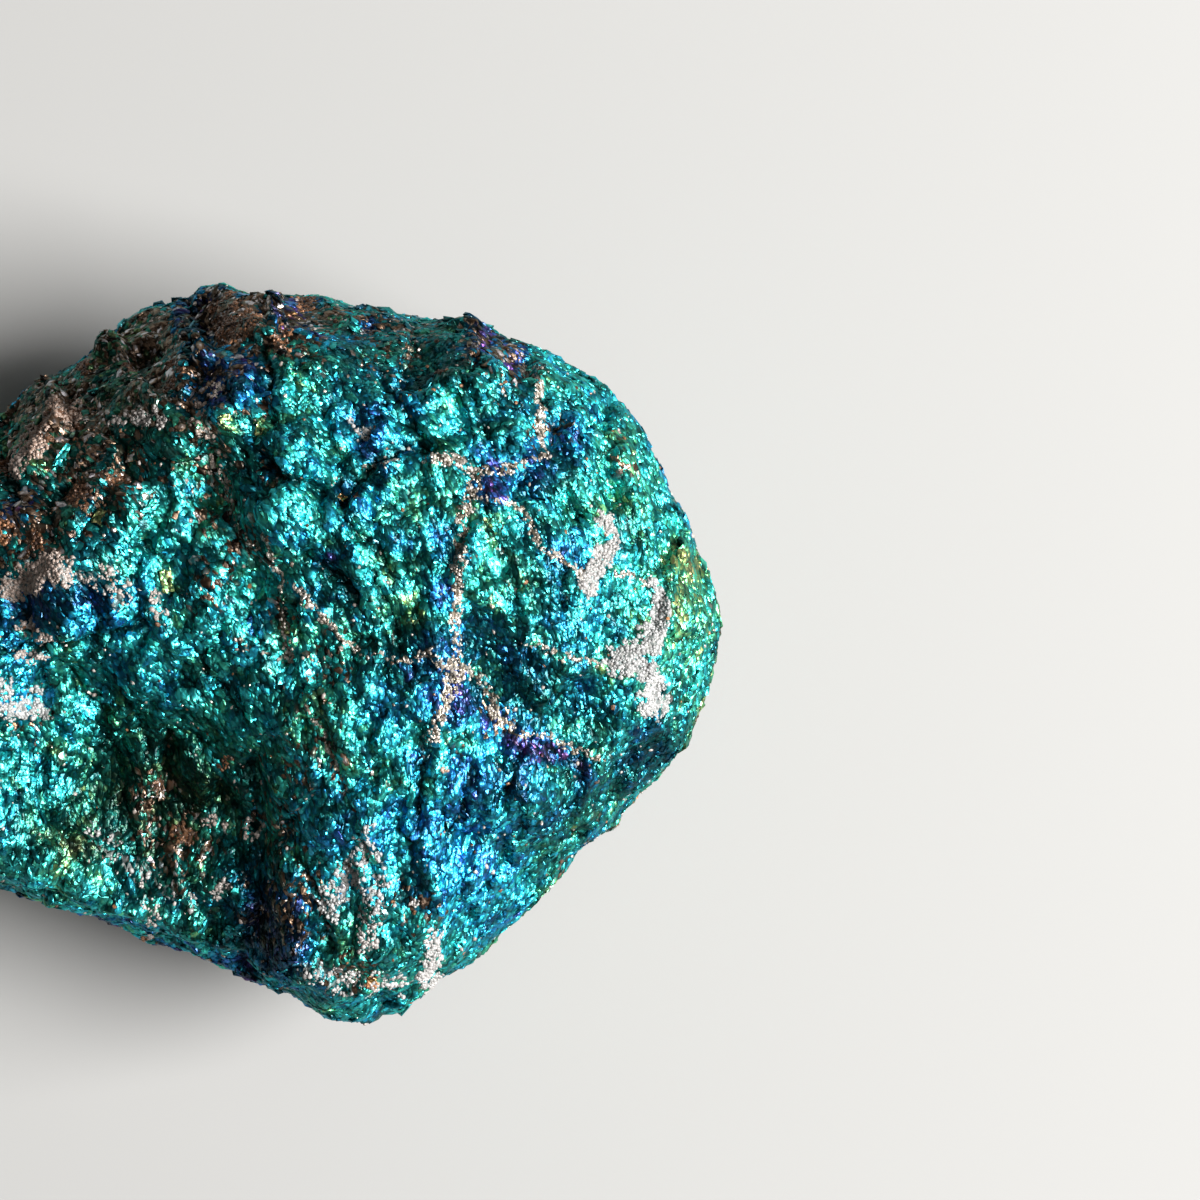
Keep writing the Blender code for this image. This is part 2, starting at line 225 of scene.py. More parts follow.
# How thick the tarnish is: place, radius, thickness from 0, bronze, to 1, yellow.
TARNISH = (
    ((-6.2, 14.0), 3.4, 0.86), ((-10.5, 11.2), 2.8, 0.88), ((-2.0, 17.2), 1.8, 0.08),
    ((2.4, 16.8), 1.2, 0.12), ((-1.6, 13.4), 1.9, 0.35), ((0.2, 14.6), 1.0, 0.3),
    ((6.1, 11.3), 1.5, 0.42), ((6.2, 16.5), 0.5, 0.28), ((11.8, 15.4), 0.9, 0.19),
    ((13.6, 14.8), 0.7, 0.24), ((15.6, 11.0), 0.5, 0.2), ((12.1, 8.0), 1.0, 0.24),
    ((4.3, 4.6), 0.7, 0.33), ((12.6, -3.4), 0.6, 0.21), ((13.4, -4.5), 0.6, 0.18),
    ((14.2, -4.9), 0.6, 0.15), ((15.0, -5.0), 0.6, 0.18), ((15.9, -5.2), 0.6, 0.15),
    ((16.9, -5.8), 0.6, 0.2), ((10.0, 2.8), 0.8, 0.36), ((9.9, 5.6), 0.6, 0.34),
    ((12.6, 9.2), 1.0, 0.34), ((17.0, 5.4), 0.8, 0.4), ((15.6, 4.8), 0.7, 0.38),
    ((13.4, -0.2), 0.9, 0.4), ((17.2, -1.6), 0.8, 0.42), ((8.6, -5.2), 0.9, 0.44),
    ((10.8, -9.0), 1.0, 0.41), ((7.6, -11.8), 0.9, 0.43), ((4.6, -9.6), 0.7, 0.44),
    ((12.4, -9.6), 0.9, 0.4), ((10.2, -2.0), 0.8, 0.3), ((8.8, -8.4), 0.5, 0.34),
    ((9.4, -9.9), 3.6, 0.5), ((11.8, -6.4), 2.4, 0.44), ((6.9, -8.9), 1.1, 0.46),
    ((11.9, -12.4), 1.8, 0.45), ((22.2, 4.1), 1.3, 0.94), ((21.3, 1.6), 2.2, 0.82),
    ((18.9, 8.5), 2.8, 0.74), ((14.8, 9.0), 1.2, 0.47), ((16.3, 11.0), 1.5, 0.58),
    ((-0.7, 11.3), 0.6, 0.91), ((0.9, 11.3), 0.5, 0.9), ((-8.0, -9.6), 2.4, 0.82),
    ((-3.8, -7.4), 3.8, 0.84), ((1.2, -13.9), 2.2, 0.16), ((-10.7, 2.2), 1.6, 0.32),
    ((-7.6, 2.6), 1.0, 0.3), ((-10.8, -1.5), 2.0, 0.58), ((-5.0, 6.6), 1.9, 0.69),
    ((-1.2, 1.0), 2.0, 0.64), ((4.8, -14.9), 1.2, 0.76), ((7.6, -15.4), 2.6, 0.68),
    ((9.8, 0.0), 1.4, 0.42), ((10.4, -2.6), 1.3, 0.32), ((-8.0, 1.6), 0.5, 0.5),
    ((3.4, -3.6), 1.3, 0.78), ((-11.2, 7.4), 0.9, 0.2), ((14.8, 9.2), 1.4, 0.44),
    ((16.4, 10.2), 1.2, 0.46),
)
# Dark places, partly soot-black tarnish and partly painted shade of deep pits, hollows and slopes
# turned away from the key light: place, radius, strength.
DARK = (
    ((-3.9, -7.4), 4.4, 0.84), ((0.8, -9.6), 1.8, 0.25), ((16.8, -6.6), 3.2, 0.7),
    ((14.6, -1.6), 3.0, 0.58), ((-9.2, -8.4), 2.8, 0.66), ((-8.6, 8.8), 3.0, 0.6),
    ((-10.0, 5.2), 2.2, 0.5), ((-6.8, 3.4), 1.4, 0.5), ((20.6, -5.4), 2.4, 0.55),
    ((15.4, -9.4), 2.4, 0.48), ((13.4, 4.2), 2.0, 0.2), ((19.4, 1.4), 1.0, 0.3),
    ((1.4, -14.0), 2.4, 0.8), ((2.8, -5.6), 1.6, 0.15), ((-6.0, 13.2), 3.4, 0.72),
    ((-10.0, 11.4), 2.8, 0.66), ((-1.6, 16.6), 2.2, 0.5), ((5.8, 15.4), 3.0, 0.25),
    ((-12.0, 8.6), 0.6, 1.0), ((21.6, -4.6), 2.2, 0.4), ((12.2, -0.4), 1.6, 0.35),
    ((9.0, 15.6), 1.8, 0.3), ((-4.6, 9.4), 2.0, 0.35),
)
# Weathered places, where brown limonite dulls part of the grains: place, radius, strength.
WEATHERED = (
    ((-9.0, 12.0), 3.4, 0.74), ((-4.4, 14.8), 3.2, 0.76), ((-0.6, 16.9), 2.4, 0.95),
    ((3.6, 16.6), 1.6, 0.6), ((7.6, 16.4), 2.2, 0.5), ((12.4, 15.2), 1.8, 0.5),
    ((1.6, 15.2), 0.7, 0.8), ((-7.8, 9.0), 2.8, 0.6), ((-11.2, 6.4), 2.2, 0.68),
    ((-9.4, 4.6), 1.4, 0.45), ((-3.2, -9.4), 1.8, 0.6), ((-4.6, -7.2), 1.4, 0.35),
    ((2.6, -12.6), 2.0, 0.45), ((-1.8, 6.6), 1.2, 0.4), ((5.4, -16.0), 1.0, 0.55),
    ((19.2, 8.9), 0.8, 0.4), ((-11.0, -3.4), 1.2, 0.3), ((15.2, 11.2), 0.8, 0.45),
    ((-2.4, 11.2), 1.0, 0.6), ((-1.6, 9.4), 0.9, 0.6), ((-0.8, 7.4), 0.8, 0.55),
    ((0.2, 5.4), 0.9, 0.5), ((-1.6, 3.4), 1.4, 0.35), ((0.8, 12.2), 0.8, 0.45),
    ((1.4, 8.8), 0.9, 0.45), ((2.0, 2.0), 0.8, 0.4), ((4.4, -1.0), 1.6, 0.3),
    ((3.0, -5.8), 2.4, 0.24), ((1.6, -8.8), 2.0, 0.3), ((12.6, -3.6), 1.0, 0.4),
    ((8.6, -12.4), 1.4, 0.35),
)
# Flat breaks of the broad face: place, reach, and how far each leans to the right (below 0: left).
BREAKS = (
    (-10.7, 12.3, 1.4, -0.7), (-7.9, 14.3, 1.5, -0.6), (-5.2, 16.6, 1.3, -0.4), (-6.7, 12.6, 1.4, -0.9),
    (-3.9, 15.1, 1.3, -0.8), (-0.7, 17.3, 1.3, -0.9), (-9.2, 9.6, 0.7, 0.6), (-7.9, 10.1, 0.8, -0.4),
    (-4.9, 10.3, 1.0, -0.6), (-8.9, 7.5, 0.7, -0.4), (-0.2, 14.8, 0.7, 0.0), (-1.4, 13.3, 0.8, -0.7),
    (1.3, 14.1, 0.7, -0.5), (0.2, 11.4, 0.8, 0.8), (0.1, 9.8, 1.1, -0.5), (4.3, 16.1, 1.3, -0.5),
    (4.6, 14.1, 0.9, 0.0), (2.4, 12.6, 0.8, 0.5), (3.6, 10.1, 1.1, 0.7), (5.1, 10.8, 0.7, 0.7),
    (1.3, 9.1, 0.8, -0.4), (-0.9, 8.1, 0.9, -0.4), (-2.7, 8.3, 0.6, 0.9), (-4.6, 7.0, 0.8, 1.0),
    (-5.6, 5.5, 0.6, 1.0), (-3.2, 6.5, 0.8, 0.7), (-6.9, 6.0, 0.7, -0.7), (-1.3, 5.5, 0.8, 0.0),
    (-2.8, 4.3, 0.7, -0.2), (-3.9, 3.4, 0.6, 0.9), (-0.9, 3.5, 0.9, 0.4), (3.1, 7.3, 0.9, 0.8),
    (3.3, 5.8, 0.7, 0.8), (4.6, 7.0, 0.7, 0.4), (5.7, 6.5, 0.7, 0.8), (5.3, 8.8, 0.7, -0.8),
    (4.1, 4.8, 0.8, -0.8), (4.6, 3.5, 0.7, -0.8), (3.1, 3.6, 0.7, -0.4), (-7.9, 1.6, 0.6, 1.0),
    (-9.8, 2.5, 0.8, -0.8), (-7.3, 2.9, 0.7, -0.7), (-5.9, 0.8, 0.7, 0.8), (-3.3, 1.6, 0.8, 0.5),
    (-1.9, 0.9, 0.8, 0.9), (-0.4, 0.8, 0.7, 0.4), (1.8, 1.9, 0.8, 0.3), (3.7, 1.3, 1.0, 0.4),
    (5.3, 2.0, 0.7, -0.6), (6.8, 15.3, 1.1, -0.5), (9.3, 14.6, 1.1, -0.9), (13.0, 13.9, 0.7, 0.8),
    (11.7, 13.1, 0.6, 0.3), (13.0, 12.6, 0.8, -0.5), (8.6, 12.9, 0.6, 0.7), (6.8, 12.6, 0.8, -0.1),
    (9.6, 12.1, 0.8, 0.8), (7.9, 10.4, 0.8, 0.7), (14.3, 11.3, 0.8, 0.4), (6.6, 9.2, 0.6, -0.9),
    (8.1, 8.6, 0.8, 0.5), (10.1, 8.8, 0.7, 0.2), (7.3, 6.3, 0.7, -0.4), (9.8, 6.0, 0.7, 0.3),
    (7.1, 4.5, 0.9, 0.6), (8.6, 4.8, 0.6, -0.4), (6.8, 2.3, 0.9, 0.4), (8.3, 0.6, 0.8, -0.8),
    (16.1, 13.3, 0.8, 0.6), (17.4, 11.1, 0.9, 0.9), (19.1, 11.1, 0.7, -0.1), (19.8, 8.9, 1.0, 0.8),
    (17.9, 8.0, 0.9, 0.8), (15.2, 8.8, 0.8, -0.8), (13.8, 9.8, 0.7, 0.0), (15.8, 6.5, 0.9, 0.7),
    (16.8, 5.7, 0.7, 0.3), (19.6, 6.5, 0.7, 0.1), (20.6, 5.5, 0.7, 0.6), (22.3, 4.5, 0.8, 0.9),
    (22.3, 2.3, 0.9, 0.5), (19.8, 2.5, 0.8, 0.3), (18.1, 2.3, 1.0, 0.0), (16.3, 3.0, 0.6, -0.3),
    (15.1, 3.5, 0.8, -0.7), (13.8, 4.5, 0.7, -0.2), (12.3, 4.5, 0.8, 0.8), (13.1, 2.8, 0.7, 0.5),
    (14.5, 6.0, 0.6, -0.5), (12.8, 0.9, 0.8, -0.8), (15.8, 0.6, 0.8, 0.0), (-11.4, -1.2, 0.9, 1.0),
    (-9.4, -0.5, 0.7, 0.5), (-7.8, -3.0, 0.7, 0.9), (-6.7, -1.1, 1.0, -0.4), (-10.9, -4.0, 0.8, 0.0),
    (-7.1, -4.3, 0.7, -0.6), (-10.9, -6.0, 0.8, 0.7), (-8.6, -6.2, 0.8, 0.9), (-7.9, -8.4, 0.7, 0.2),
    (-11.2, -8.7, 0.9, 0.7), (-9.2, -10.6, 0.8, 0.5), (-8.2, -11.9, 0.8, 0.5), (-8.4, -9.4, 0.9, -0.5),
    (-5.9, -6.0, 1.4, -0.7), (-6.2, -8.4, 1.2, -0.7), (-3.2, -6.0, 1.1, -0.9), (-4.2, -8.4, 0.8, -0.5),
    (-4.7, -10.7, 1.0, -1.0), (-2.6, -10.4, 0.6, 0.2), (-0.7, -7.0, 0.6, -0.9), (-3.9, -0.7, 0.7, 0.4),
    (-2.7, 0.1, 0.7, 0.9), (-2.4, -2.7, 0.7, 0.5), (-1.2, -0.9, 0.8, 0.8), (-2.6, -1.3, 0.6, -0.8),
    (0.6, -3.0, 1.0, -0.2), (-0.9, -4.7, 0.8, 0.1), (2.1, -6.0, 1.2, -0.3), (3.8, -5.0, 1.0, -0.3),
    (4.3, -8.4, 1.1, -0.2), (4.4, -11.8, 0.6, 0.5), (4.2, -0.5, 0.8, 0.4), (4.9, -3.0, 0.9, 0.6),
    (5.2, -6.0, 0.8, 0.4), (6.3, -1.9, 0.8, -0.4), (6.1, -0.5, 0.7, -0.8), (-1.2, -12.7, 0.9, -0.8),
    (1.1, -11.2, 0.8, -0.9), (1.6, -14.4, 1.0, -0.8), (-3.2, -13.4, 0.8, -0.5), (4.1, -14.9, 0.9, 0.1),
    (3.3, -16.4, 0.7, -0.7), (7.6, -0.9, 0.9, -0.9), (7.9, -4.2, 0.7, 0.5), (9.1, -2.5, 0.7, 0.1),
    (10.6, -4.7, 1.0, 0.5), (8.1, -5.8, 0.7, 0.0), (6.8, -8.2, 1.1, 0.9), (9.1, -8.4, 0.8, 0.5),
    (10.6, -7.6, 0.8, 0.0), (12.1, -6.5, 0.7, -0.2), (13.2, -7.7, 0.6, 0.7), (7.3, -10.4, 0.9, 0.6),
    (8.6, -11.4, 0.6, -0.7), (10.1, -10.4, 0.9, 0.6), (12.1, -11.2, 0.8, 0.8), (13.1, -12.2, 0.8, 0.7),
    (10.1, -13.4, 0.8, 0.6), (9.1, -13.5, 0.6, 0.0), (7.3, -13.4, 0.7, 0.5), (6.3, -14.3, 0.7, -0.5),
    (7.8, -15.4, 0.7, -0.3), (8.8, -16.7, 0.7, 0.9), (10.8, -15.4, 0.7, 0.2), (13.6, -1.9, 1.0, -0.8),
    (15.1, -0.8, 0.8, -0.6), (15.9, -1.2, 0.6, 0.5), (17.1, -1.9, 0.8, -0.1), (16.1, -3.2, 0.7, 0.0),
    (18.3, -4.0, 0.6, -0.6), (18.9, -4.2, 0.8, 0.4), (20.3, -5.2, 0.9, -0.7), (22.1, -3.2, 0.7, -0.3),
    (22.1, -0.5, 0.8, 0.3), (15.3, -7.0, 1.1, 0.3), (17.6, -7.5, 0.9, 0.3), (19.1, -7.2, 0.6, -0.5),
    (15.1, -9.9, 0.8, 0.4),
)
# Ledges: points along each in millimetres; the ground on the right hand, walking from the first
# point to the last, lies lower. Then how deep the step is and how far it takes to rise again.
LEDGES = (
    (((2.6, -0.6), (4.2, -4.0), (5.2, -7.0), (6.3, -10.0)), 0.5, 1.8),
    (((-2.6, 11.6), (-1.4, 8.6), (0.0, 5.8), (1.8, 3.4), (2.4, 0.0)), 0.35, 1.0),
    (((-9.4, -0.6), (-6.4, -3.6), (-6.0, -6.4), (-5.4, -9.0)), 0.5, 1.6),
)
# Cracks: points along each in millimetres, half width and depth.
CRACKS = (
    (((-2.9, 17.6), (-2.7, 16.0), (-2.4, 14.2)), 0.2, 0.55),
    (((1.0, 17.4), (1.1, 14.8), (1.7, 11.0)), 0.16, 0.3),
    (((16.0, 3.7), (16.1, 2.2)), 0.16, 0.5),
    (((17.0, 11.0), (16.4, 10.2)), 0.12, 0.2),
    (((18.8, 10.6), (17.6, 9.6)), 0.12, 0.2),
    (((1.0, 9.4), (2.6, 8.6), (4.9, 7.4)), 0.34, 0.6),
    (((4.9, 7.4), (6.2, 9.2), (7.8, 10.4), (9.4, 10.2)), 0.3, 0.6),
    (((3.8, 4.3), (4.8, 3.6), (5.5, 2.7)), 0.36, 0.55),
    (((-0.9, 13.2), (0.0, 10.2), (0.3, 7.8)), 0.16, 0.3),
    (((7.9, 13.2), (9.4, 14.2), (11.0, 14.2)), 0.45, 0.45),
    (((5.0, 6.6), (6.6, 5.2), (7.4, 3.4)), 0.2, 0.3),
    (((-12.2, 0.2), (-9.2, 0.2), (-7.2, 0.7), (-5.2, 1.3)), 0.26, 0.6),
    (((13.8, -4.8), (13.3, -6.2), (13.0, -7.6)), 0.2, 0.45),
    (((9.2, -4.8), (8.8, -6.6), (8.6, -8.6)), 0.24, 0.5),
    (((11.4, -6.0), (11.0, -8.0), (10.2, -10.2)), 0.22, 0.45),
    (((6.4, 4.0), (7.4, 1.6), (7.8, -0.2)), 0.16, 0.28),
    (((12.6, 6.6), (13.2, 4.4), (13.8, 2.0)), 0.14, 0.3),
    (((7.0, 13.6), (8.2, 11.8), (9.0, 10.4)), 0.2, 0.36),
    (((10.6, 13.6), (11.8, 12.0), (12.4, 10.2)), 0.18, 0.34),
    (((16.4, 7.6), (17.0, 6.6)), 0.12, 0.3),
    (((15.0, 12.6), (16.6, 9.6), (18.2, 7.4)), 0.13, 0.24),
    (((-4.8, 9.6), (-3.4, 9.4), (-2.4, 9.6)), 0.16, 0.3),
    (((-9.8, 7.6), (-8.6, 8.6), (-7.6, 9.4)), 0.2, 0.4),
    (((-12.2, 9.8), (-11.9, 8.8), (-11.6, 7.8)), 0.4, 0.9),
    (((-6.4, -1.2), (-5.4, -3.0), (-4.8, -5.0)), 0.16, 0.3),
    (((-3.2, 0.4), (-1.6, -1.4), (-0.4, -3.2)), 0.14, 0.26),
    (((3.0, -11.0), (4.0, -12.8), (4.4, -15.0)), 0.18, 0.34),
    (((-6.0, 5.4), (-4.8, 5.2)), 0.2, 0.35),
    (((-0.4, 4.0), (-1.0, 2.4)), 0.2, 0.3),
)


def length_property(name, description, millimetres):
    return FloatProperty(
        name=name, description=description, default=millimetres * MM, unit="LENGTH"
    )


def colour_property(name, description, red, green, blue):
    return FloatVectorProperty(
        name=name, description=description, default=(red, green, blue, 1.0), size=4, subtype="COLOR"
    )


class OreSizes(PropertyGroup):
    edge_in_front: length_property("Edge in front", "Longest mesh edge on the broad face", 0.26)
    edge_behind: length_property("Edge behind", "Longest mesh edge on the rest of the stone", 0.60)
    chip: length_property("Chip size", "Size of the larger hollow chips of the surface", 4.5)
    flake: length_property("Flake size", "Size of the smaller flakes of the surface", 1.7)
    lump: length_property("Lump size", "Size of the lumps the grains gather in", 0.8)
    clump: length_property("Clump size", "Size of the clumps of grains that face one way", 0.52)
    grain: length_property("Grain size", "Size of one grain of the ore", 0.30)


class OreColours(PropertyGroup):
    quartz: colour_property("Quartz", "Colour of the quartz patches", 0.34, 0.33, 0.31)
    vein: colour_property("Vein", "Colour of the bare metal in the veins", 0.36, 0.29, 0.21)
    rust: colour_property("Rust", "Colour of the rusty crumbs", 0.15, 0.065, 0.03)
    limonite: colour_property("Limonite", "Colour of weathered grains", 0.15, 0.09, 0.055)
    # Painted shade: the near-black that grain edges, clump creases and shaded places fade to.
    gap: colour_property("Gap", "Colour between the grains", 0.0, 0.012, 0.012)


# Colours of weathered grains besides limonite. The blackened one also serves as painted shade
# at the foot of grains and on crumbs in dark places.
BLACKENED_AND_SHADE = (0.008, 0.006, 0.006, 1.0)
TAN = (0.30, 0.21, 0.15, 1.0)
FROSTED = (0.62, 0.58, 0.60, 1.0)
# The dull and bright ends of the crumbs' colours, and the stain in the quartz.
VEIN_DULL = (0.07, 0.055, 0.05, 1.0)
VEIN_BRIGHT = (0.70, 0.65, 0.60, 1.0)
QUARTZ_DULL = (0.22, 0.22, 0.215, 1.0)
QUARTZ_BRIGHT = (0.37, 0.365, 0.355, 1.0)
QUARTZ_STAINED = (0.33, 0.19, 0.12, 1.0)
RUST_DULL = (0.015, 0.010, 0.008, 1.0)
RUST_BRIGHT = (0.44, 0.20, 0.09, 1.0)
# The metal's tint at a glancing angle, and the tarnish's colour by its thickness.
METAL_TINT = (0.30, 0.60, 0.62, 1.0)
FILM_COLOURS = (
    (0.00, (0.42, 0.24, 0.07, 1.0)),
    (0.09, (0.28, 0.11, 0.08, 1.0)),
    (0.18, (0.22, 0.08, 0.32, 1.0)),
    (0.27, (0.09, 0.09, 0.45, 1.0)),
    (0.37, (0.03, 0.20, 0.60, 1.0)),
    (0.48, (0.03, 0.46, 0.80, 1.0)),
    (0.60, (0.05, 0.68, 0.74, 1.0)),
    (0.72, (0.07, 0.70, 0.56, 1.0)),
    (0.82, (0.11, 0.52, 0.26, 1.0)),
    (0.91, (0.38, 0.56, 0.20, 1.0)),
    (1.00, (0.62, 0.56, 0.24, 1.0)),
)


def unit(vectors):
    return vectors / np.linalg.norm(vectors, axis=1, keepdims=True)


def smooth_step(low, high, value):
    share = np.clip((value - low) / (high - low), 0.0, 1.0)
    return share * share * (3.0 - 2.0 * share)


def points_of(mesh):
    flat = np.empty(len(mesh.vertices) * 3)
    mesh.vertices.foreach_get("co", flat)
    return flat.reshape(-1, 3)


def normals_of(mesh):
    flat = np.empty(len(mesh.vertices) * 3, np.float32)
    mesh.vertices.foreach_get("normal", flat)
    return flat.reshape(-1, 3).astype(float)


def as_seen(points):
    """Each point's place in millimetres as it looks from the eye, on the level of the rim."""
    nearer = (EYE.z - RIM_LEVEL) / (EYE.z - points[:, 2])
    middle = np.array(EYE.xy)
    return (middle + (points[:, :2] - middle) * nearer[:, None]) / MM


def sampled(points, size, shift):
    """A steady noise read at every point, with its features at the given size."""
    move = Vector((shift, -0.7 * shift, 0.4 * shift))
    return np.array([noise.noise(Vector(point) / size + move) for point in points])


def stroke(places, path):
    """How far each place is from a path, and on which side: right of its direction is positive."""
    best = np.full(len(places), np.inf)
    side = np.zeros(len(places))
    for start, end in zip(path[:-1], path[1:]):
        start, end = np.array(start), np.array(end)
        along = end - start
        share = np.clip((places - start) @ along / (along @ along), 0.0, 1.0)
        away = places - start - share[:, None] * along
        distance = np.hypot(away[:, 0], away[:, 1])
        turn = along[1] * away[:, 0] - along[0] * away[:, 1]
        nearer = distance < best
        best = np.where(nearer, distance, best)
        side = np.where(nearer, np.sign(turn), side)
    return best, side


def blot(places, patch):
    """How deep each place lies inside a patch of given radii, in millimetres, below 0 outside."""
    inside = np.full(len(places), -np.inf)
    for x, y, radius in patch:
        inside = np.maximum(inside, radius - np.hypot(places[:, 0] - x, places[:, 1] - y))
    for (x0, y0, r0), (x1, y1, r1) in zip(patch[:-1], patch[1:]):
        start, along = np.array((x0, y0)), np.array((x1 - x0, y1 - y0))
        share = np.clip((places - start) @ along / (along @ along), 0.0, 1.0)
        away = places - start - share[:, None] * along
        radius = r0 + share * (r1 - r0)
        inside = np.maximum(inside, radius - np.hypot(away[:, 0], away[:, 1]))
    return inside


def spot(places, centre, radius, ragged):
    """1 inside a round place and 0 outside it, with an edge that wanders by a noise around 1."""
    away = np.hypot(*(places - centre).T) / radius
    return np.exp(-((away * ragged) ** 2.6))


def scattered(cells, salt):
    """Three steady random numbers from 0 to 1 for every cell of a grid in space."""
    number = (cells.astype(np.int64) * (73856093, 19349663, 83492791)).sum(1) + salt * 7919
    found = []
    for _ in range(3):
        number = (number ^ (number >> 15)) * 739982445 % 4294967291
        number = (number ^ (number >> 13)) * 695872825 % 4294967291
        found.append(number / 4294967291)
    return np.stack(found, 1)


def hollows(points, size, kind, salt):
    """Dished chips that meet in sharp ridges: each has its own slope. Heights in metres."""
    proud, tilt, dish = kind
    scaled = points / size
    home = np.floor(scaled)
    height = np.full(len(points), np.inf)
    for step in itertools.product((-1.0, 0.0, 1.0), repeat=3):
        cell = home + step
        away = scaled - cell - scattered(cell, salt)
        slope = 2.0 * tilt * (scattered(cell, salt + 1) - 0.5)
        height = np.minimum(height, (slope * away).sum(1) + dish * (away**2).sum(1))
    return height * size * proud


def select_only(piece):
    bpy.ops.object.select_all(action="DESELECT")
    piece.select_set(True)
    bpy.context.view_layer.objects.active = piece


def copy_of_solid(name):
    """A closed copy of the solid stone in a new object."""
    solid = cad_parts[NODE]
    piece = bpy.data.objects.new(name, solid.data.copy())
    piece.data.name = name
    piece.data.materials.clear()
    bpy.context.scene.collection.objects.link(piece)
    select_only(piece)
    bpy.ops.object.mode_set(mode="EDIT")
    bpy.ops.mesh.select_all(action="SELECT")
    bpy.ops.mesh.remove_doubles(threshold=1e-6)
    bpy.ops.mesh.normals_make_consistent(inside=False)
    bpy.ops.object.mode_set(mode="OBJECT")
    return piece


def divide(mesh, in_front, behind):
    """Splits the long edges again and again until the broad face has the finer mesh."""
    shape = bmesh.new()
    shape.from_mesh(mesh)
    for turn in range(SPLITS):
        shape.normal_update()
        long_edges = []
        for edge in shape.edges:
            middle = 0.5 * (edge.verts[0].co + edge.verts[1].co)
            up = 0.5 * (edge.verts[0].normal.z + edge.verts[1].normal.z)
            limit = in_front if up > 0.05 and middle.z > FACE_RISES[0] else behind
            if edge.calc_length() > limit:
                long_edges.append(edge)
        if not long_edges:
            break
        bmesh.ops.subdivide_edges(shape, edges=long_edges, cuts=1)
        bmesh.ops.triangulate(shape, faces=[face for face in shape.faces if len(face.verts) > 3])
        if turn < SMOOTHED_SPLITS:
            loose = [vert for vert in shape.verts if vert.co.z > 0.4 * MM]
            bmesh.ops.smooth_vert(
                shape, verts=loose, factor=0.35, use_axis_x=True, use_axis_y=True, use_axis_z=True
            )
    shape.to_mesh(mesh)
    shape.free()


def store(mesh, name, values):
    layer = mesh.attributes.new(name, "FLOAT", "POINT")
    layer.data.foreach_set("value", np.asarray(values, np.float32))


def store_arcs(mesh):
    """Keeps where each point lies among the fracture's arcs, for textures drawn out along them."""
    layer = mesh.attributes.new("arcs", "FLOAT_VECTOR", "POINT")
    layer.data.foreach_set("vector", arcs(points_of(mesh), DRAWN_OUT).ravel())


def arcs(points, drawn_out):
    """Places told by how far out from the fracture's start they lie, how far round, and height.

    Round the arcs they are squeezed, so that what is scattered there comes out long.
    """
    away = points[:, :2] - FRACTURE_START
    reach = np.hypot(away[:, 0], away[:, 1])
    turn = np.arctan2(away[:, 1], away[:, 0]) - FRACTURE_HEADING
    return np.stack([reach, reach * turn / drawn_out, points[:, 2]], 1)


def relief(points, sizes):
    """How far each point moves out or in, before its veins and cracks."""
    bend = [sampled(points, BEND_SIZE, shift) for shift in (8.0, 21.0, 34.0)]
    bent = points + BEND * np.stack(bend, 1)
    coarse = hollows(bent, sizes.chip, CHIPS, salt=3)
    coarse += hollows(arcs(bent, FLAKES_DRAWN), sizes.flake, FLAKES, salt=7)
    small = hollows(arcs(bent, LUMPS_DRAWN), sizes.lump, LUMPS, salt=11)
    return coarse, small


def flat_breaks(places):
    """Height of the listed flat breaks in millimetres, and how far right each place leans."""
    wander = 0.35 * np.stack(
        [
            sampled(np.insert(places, 2, 4.0 + turn, 1), 0.9, 3.0 + turn)
            for turn in (0.0, 5.0)
        ],
        1,
    )
    breaks = np.array(BREAKS)
    across = 0.30 * (scattered(np.rint(breaks[:, :3] * 10.0), salt=21)[:, 0] - 0.5)
    slopes = np.stack([-BREAK_SLOPE * breaks[:, 3], across], 1)
    height = np.zeros(len(places))
    lean = np.zeros(len(places))
    for part in np.array_split(np.arange(len(places)), 40):
        away = places[part, None] + wander[part, None] - breaks[None, :, :2]
        distance = np.hypot(away[..., 0], away[..., 1]) / breaks[:, 2]
        nearest = distance.min(1, keepdims=True)
        share = np.exp(-14.0 * (distance - nearest))
        share /= share.sum(1, keepdims=True)
        reach = smooth_step(3.0, 1.8, nearest[:, 0])
        height[part] = reach * (share * (away * slopes).sum(2)).sum(1)
        lean[part] = reach * (share * breaks[:, 3]).sum(1)
    return height, lean


def surface_of(stone, count, seed):
    """Points spread evenly over the finished stone, with their normals and marks."""
    chance = np.random.default_rng(seed)
    mesh = stone.data
    points, normals = points_of(mesh), normals_of(mesh)
    corners = np.empty(len(mesh.loops), np.int32)
    mesh.loops.foreach_get("vertex_index", corners)
    corners = corners.reshape(-1, 3)
    a, b, c = (points[corners[:, turn]] for turn in range(3))
    area = np.linalg.norm(np.cross(b - a, c - a), axis=1)
    hosts = corners[chance.choice(len(corners), count, p=area / area.sum())]
    share = chance.dirichlet((1.0, 1.0, 1.0), count)
    surface = {
        "points": (points[hosts] * share[..., None]).sum(1),
        "normals": unit((normals[hosts] * share[..., None]).sum(1)),
    }
    for mark in ("film", "dark", "weather", "vein", "quartz", "rust", "lean", "stain"):
        values = np.empty(len(points), np.float32)
        mesh.attributes[mark].data.foreach_get("value", values)
        surface[mark] = (values[hosts] * share).sum(1)
    return surface


def filled(surface, mark, cell_size):
    """How surely each point belongs to a marked place: whole small cells are in it or out."""
    cells = np.floor(surface["points"] / cell_size)
    return surface[mark] * (0.35 + 0.90 * scattered(cells, salt=51)[:, 0])


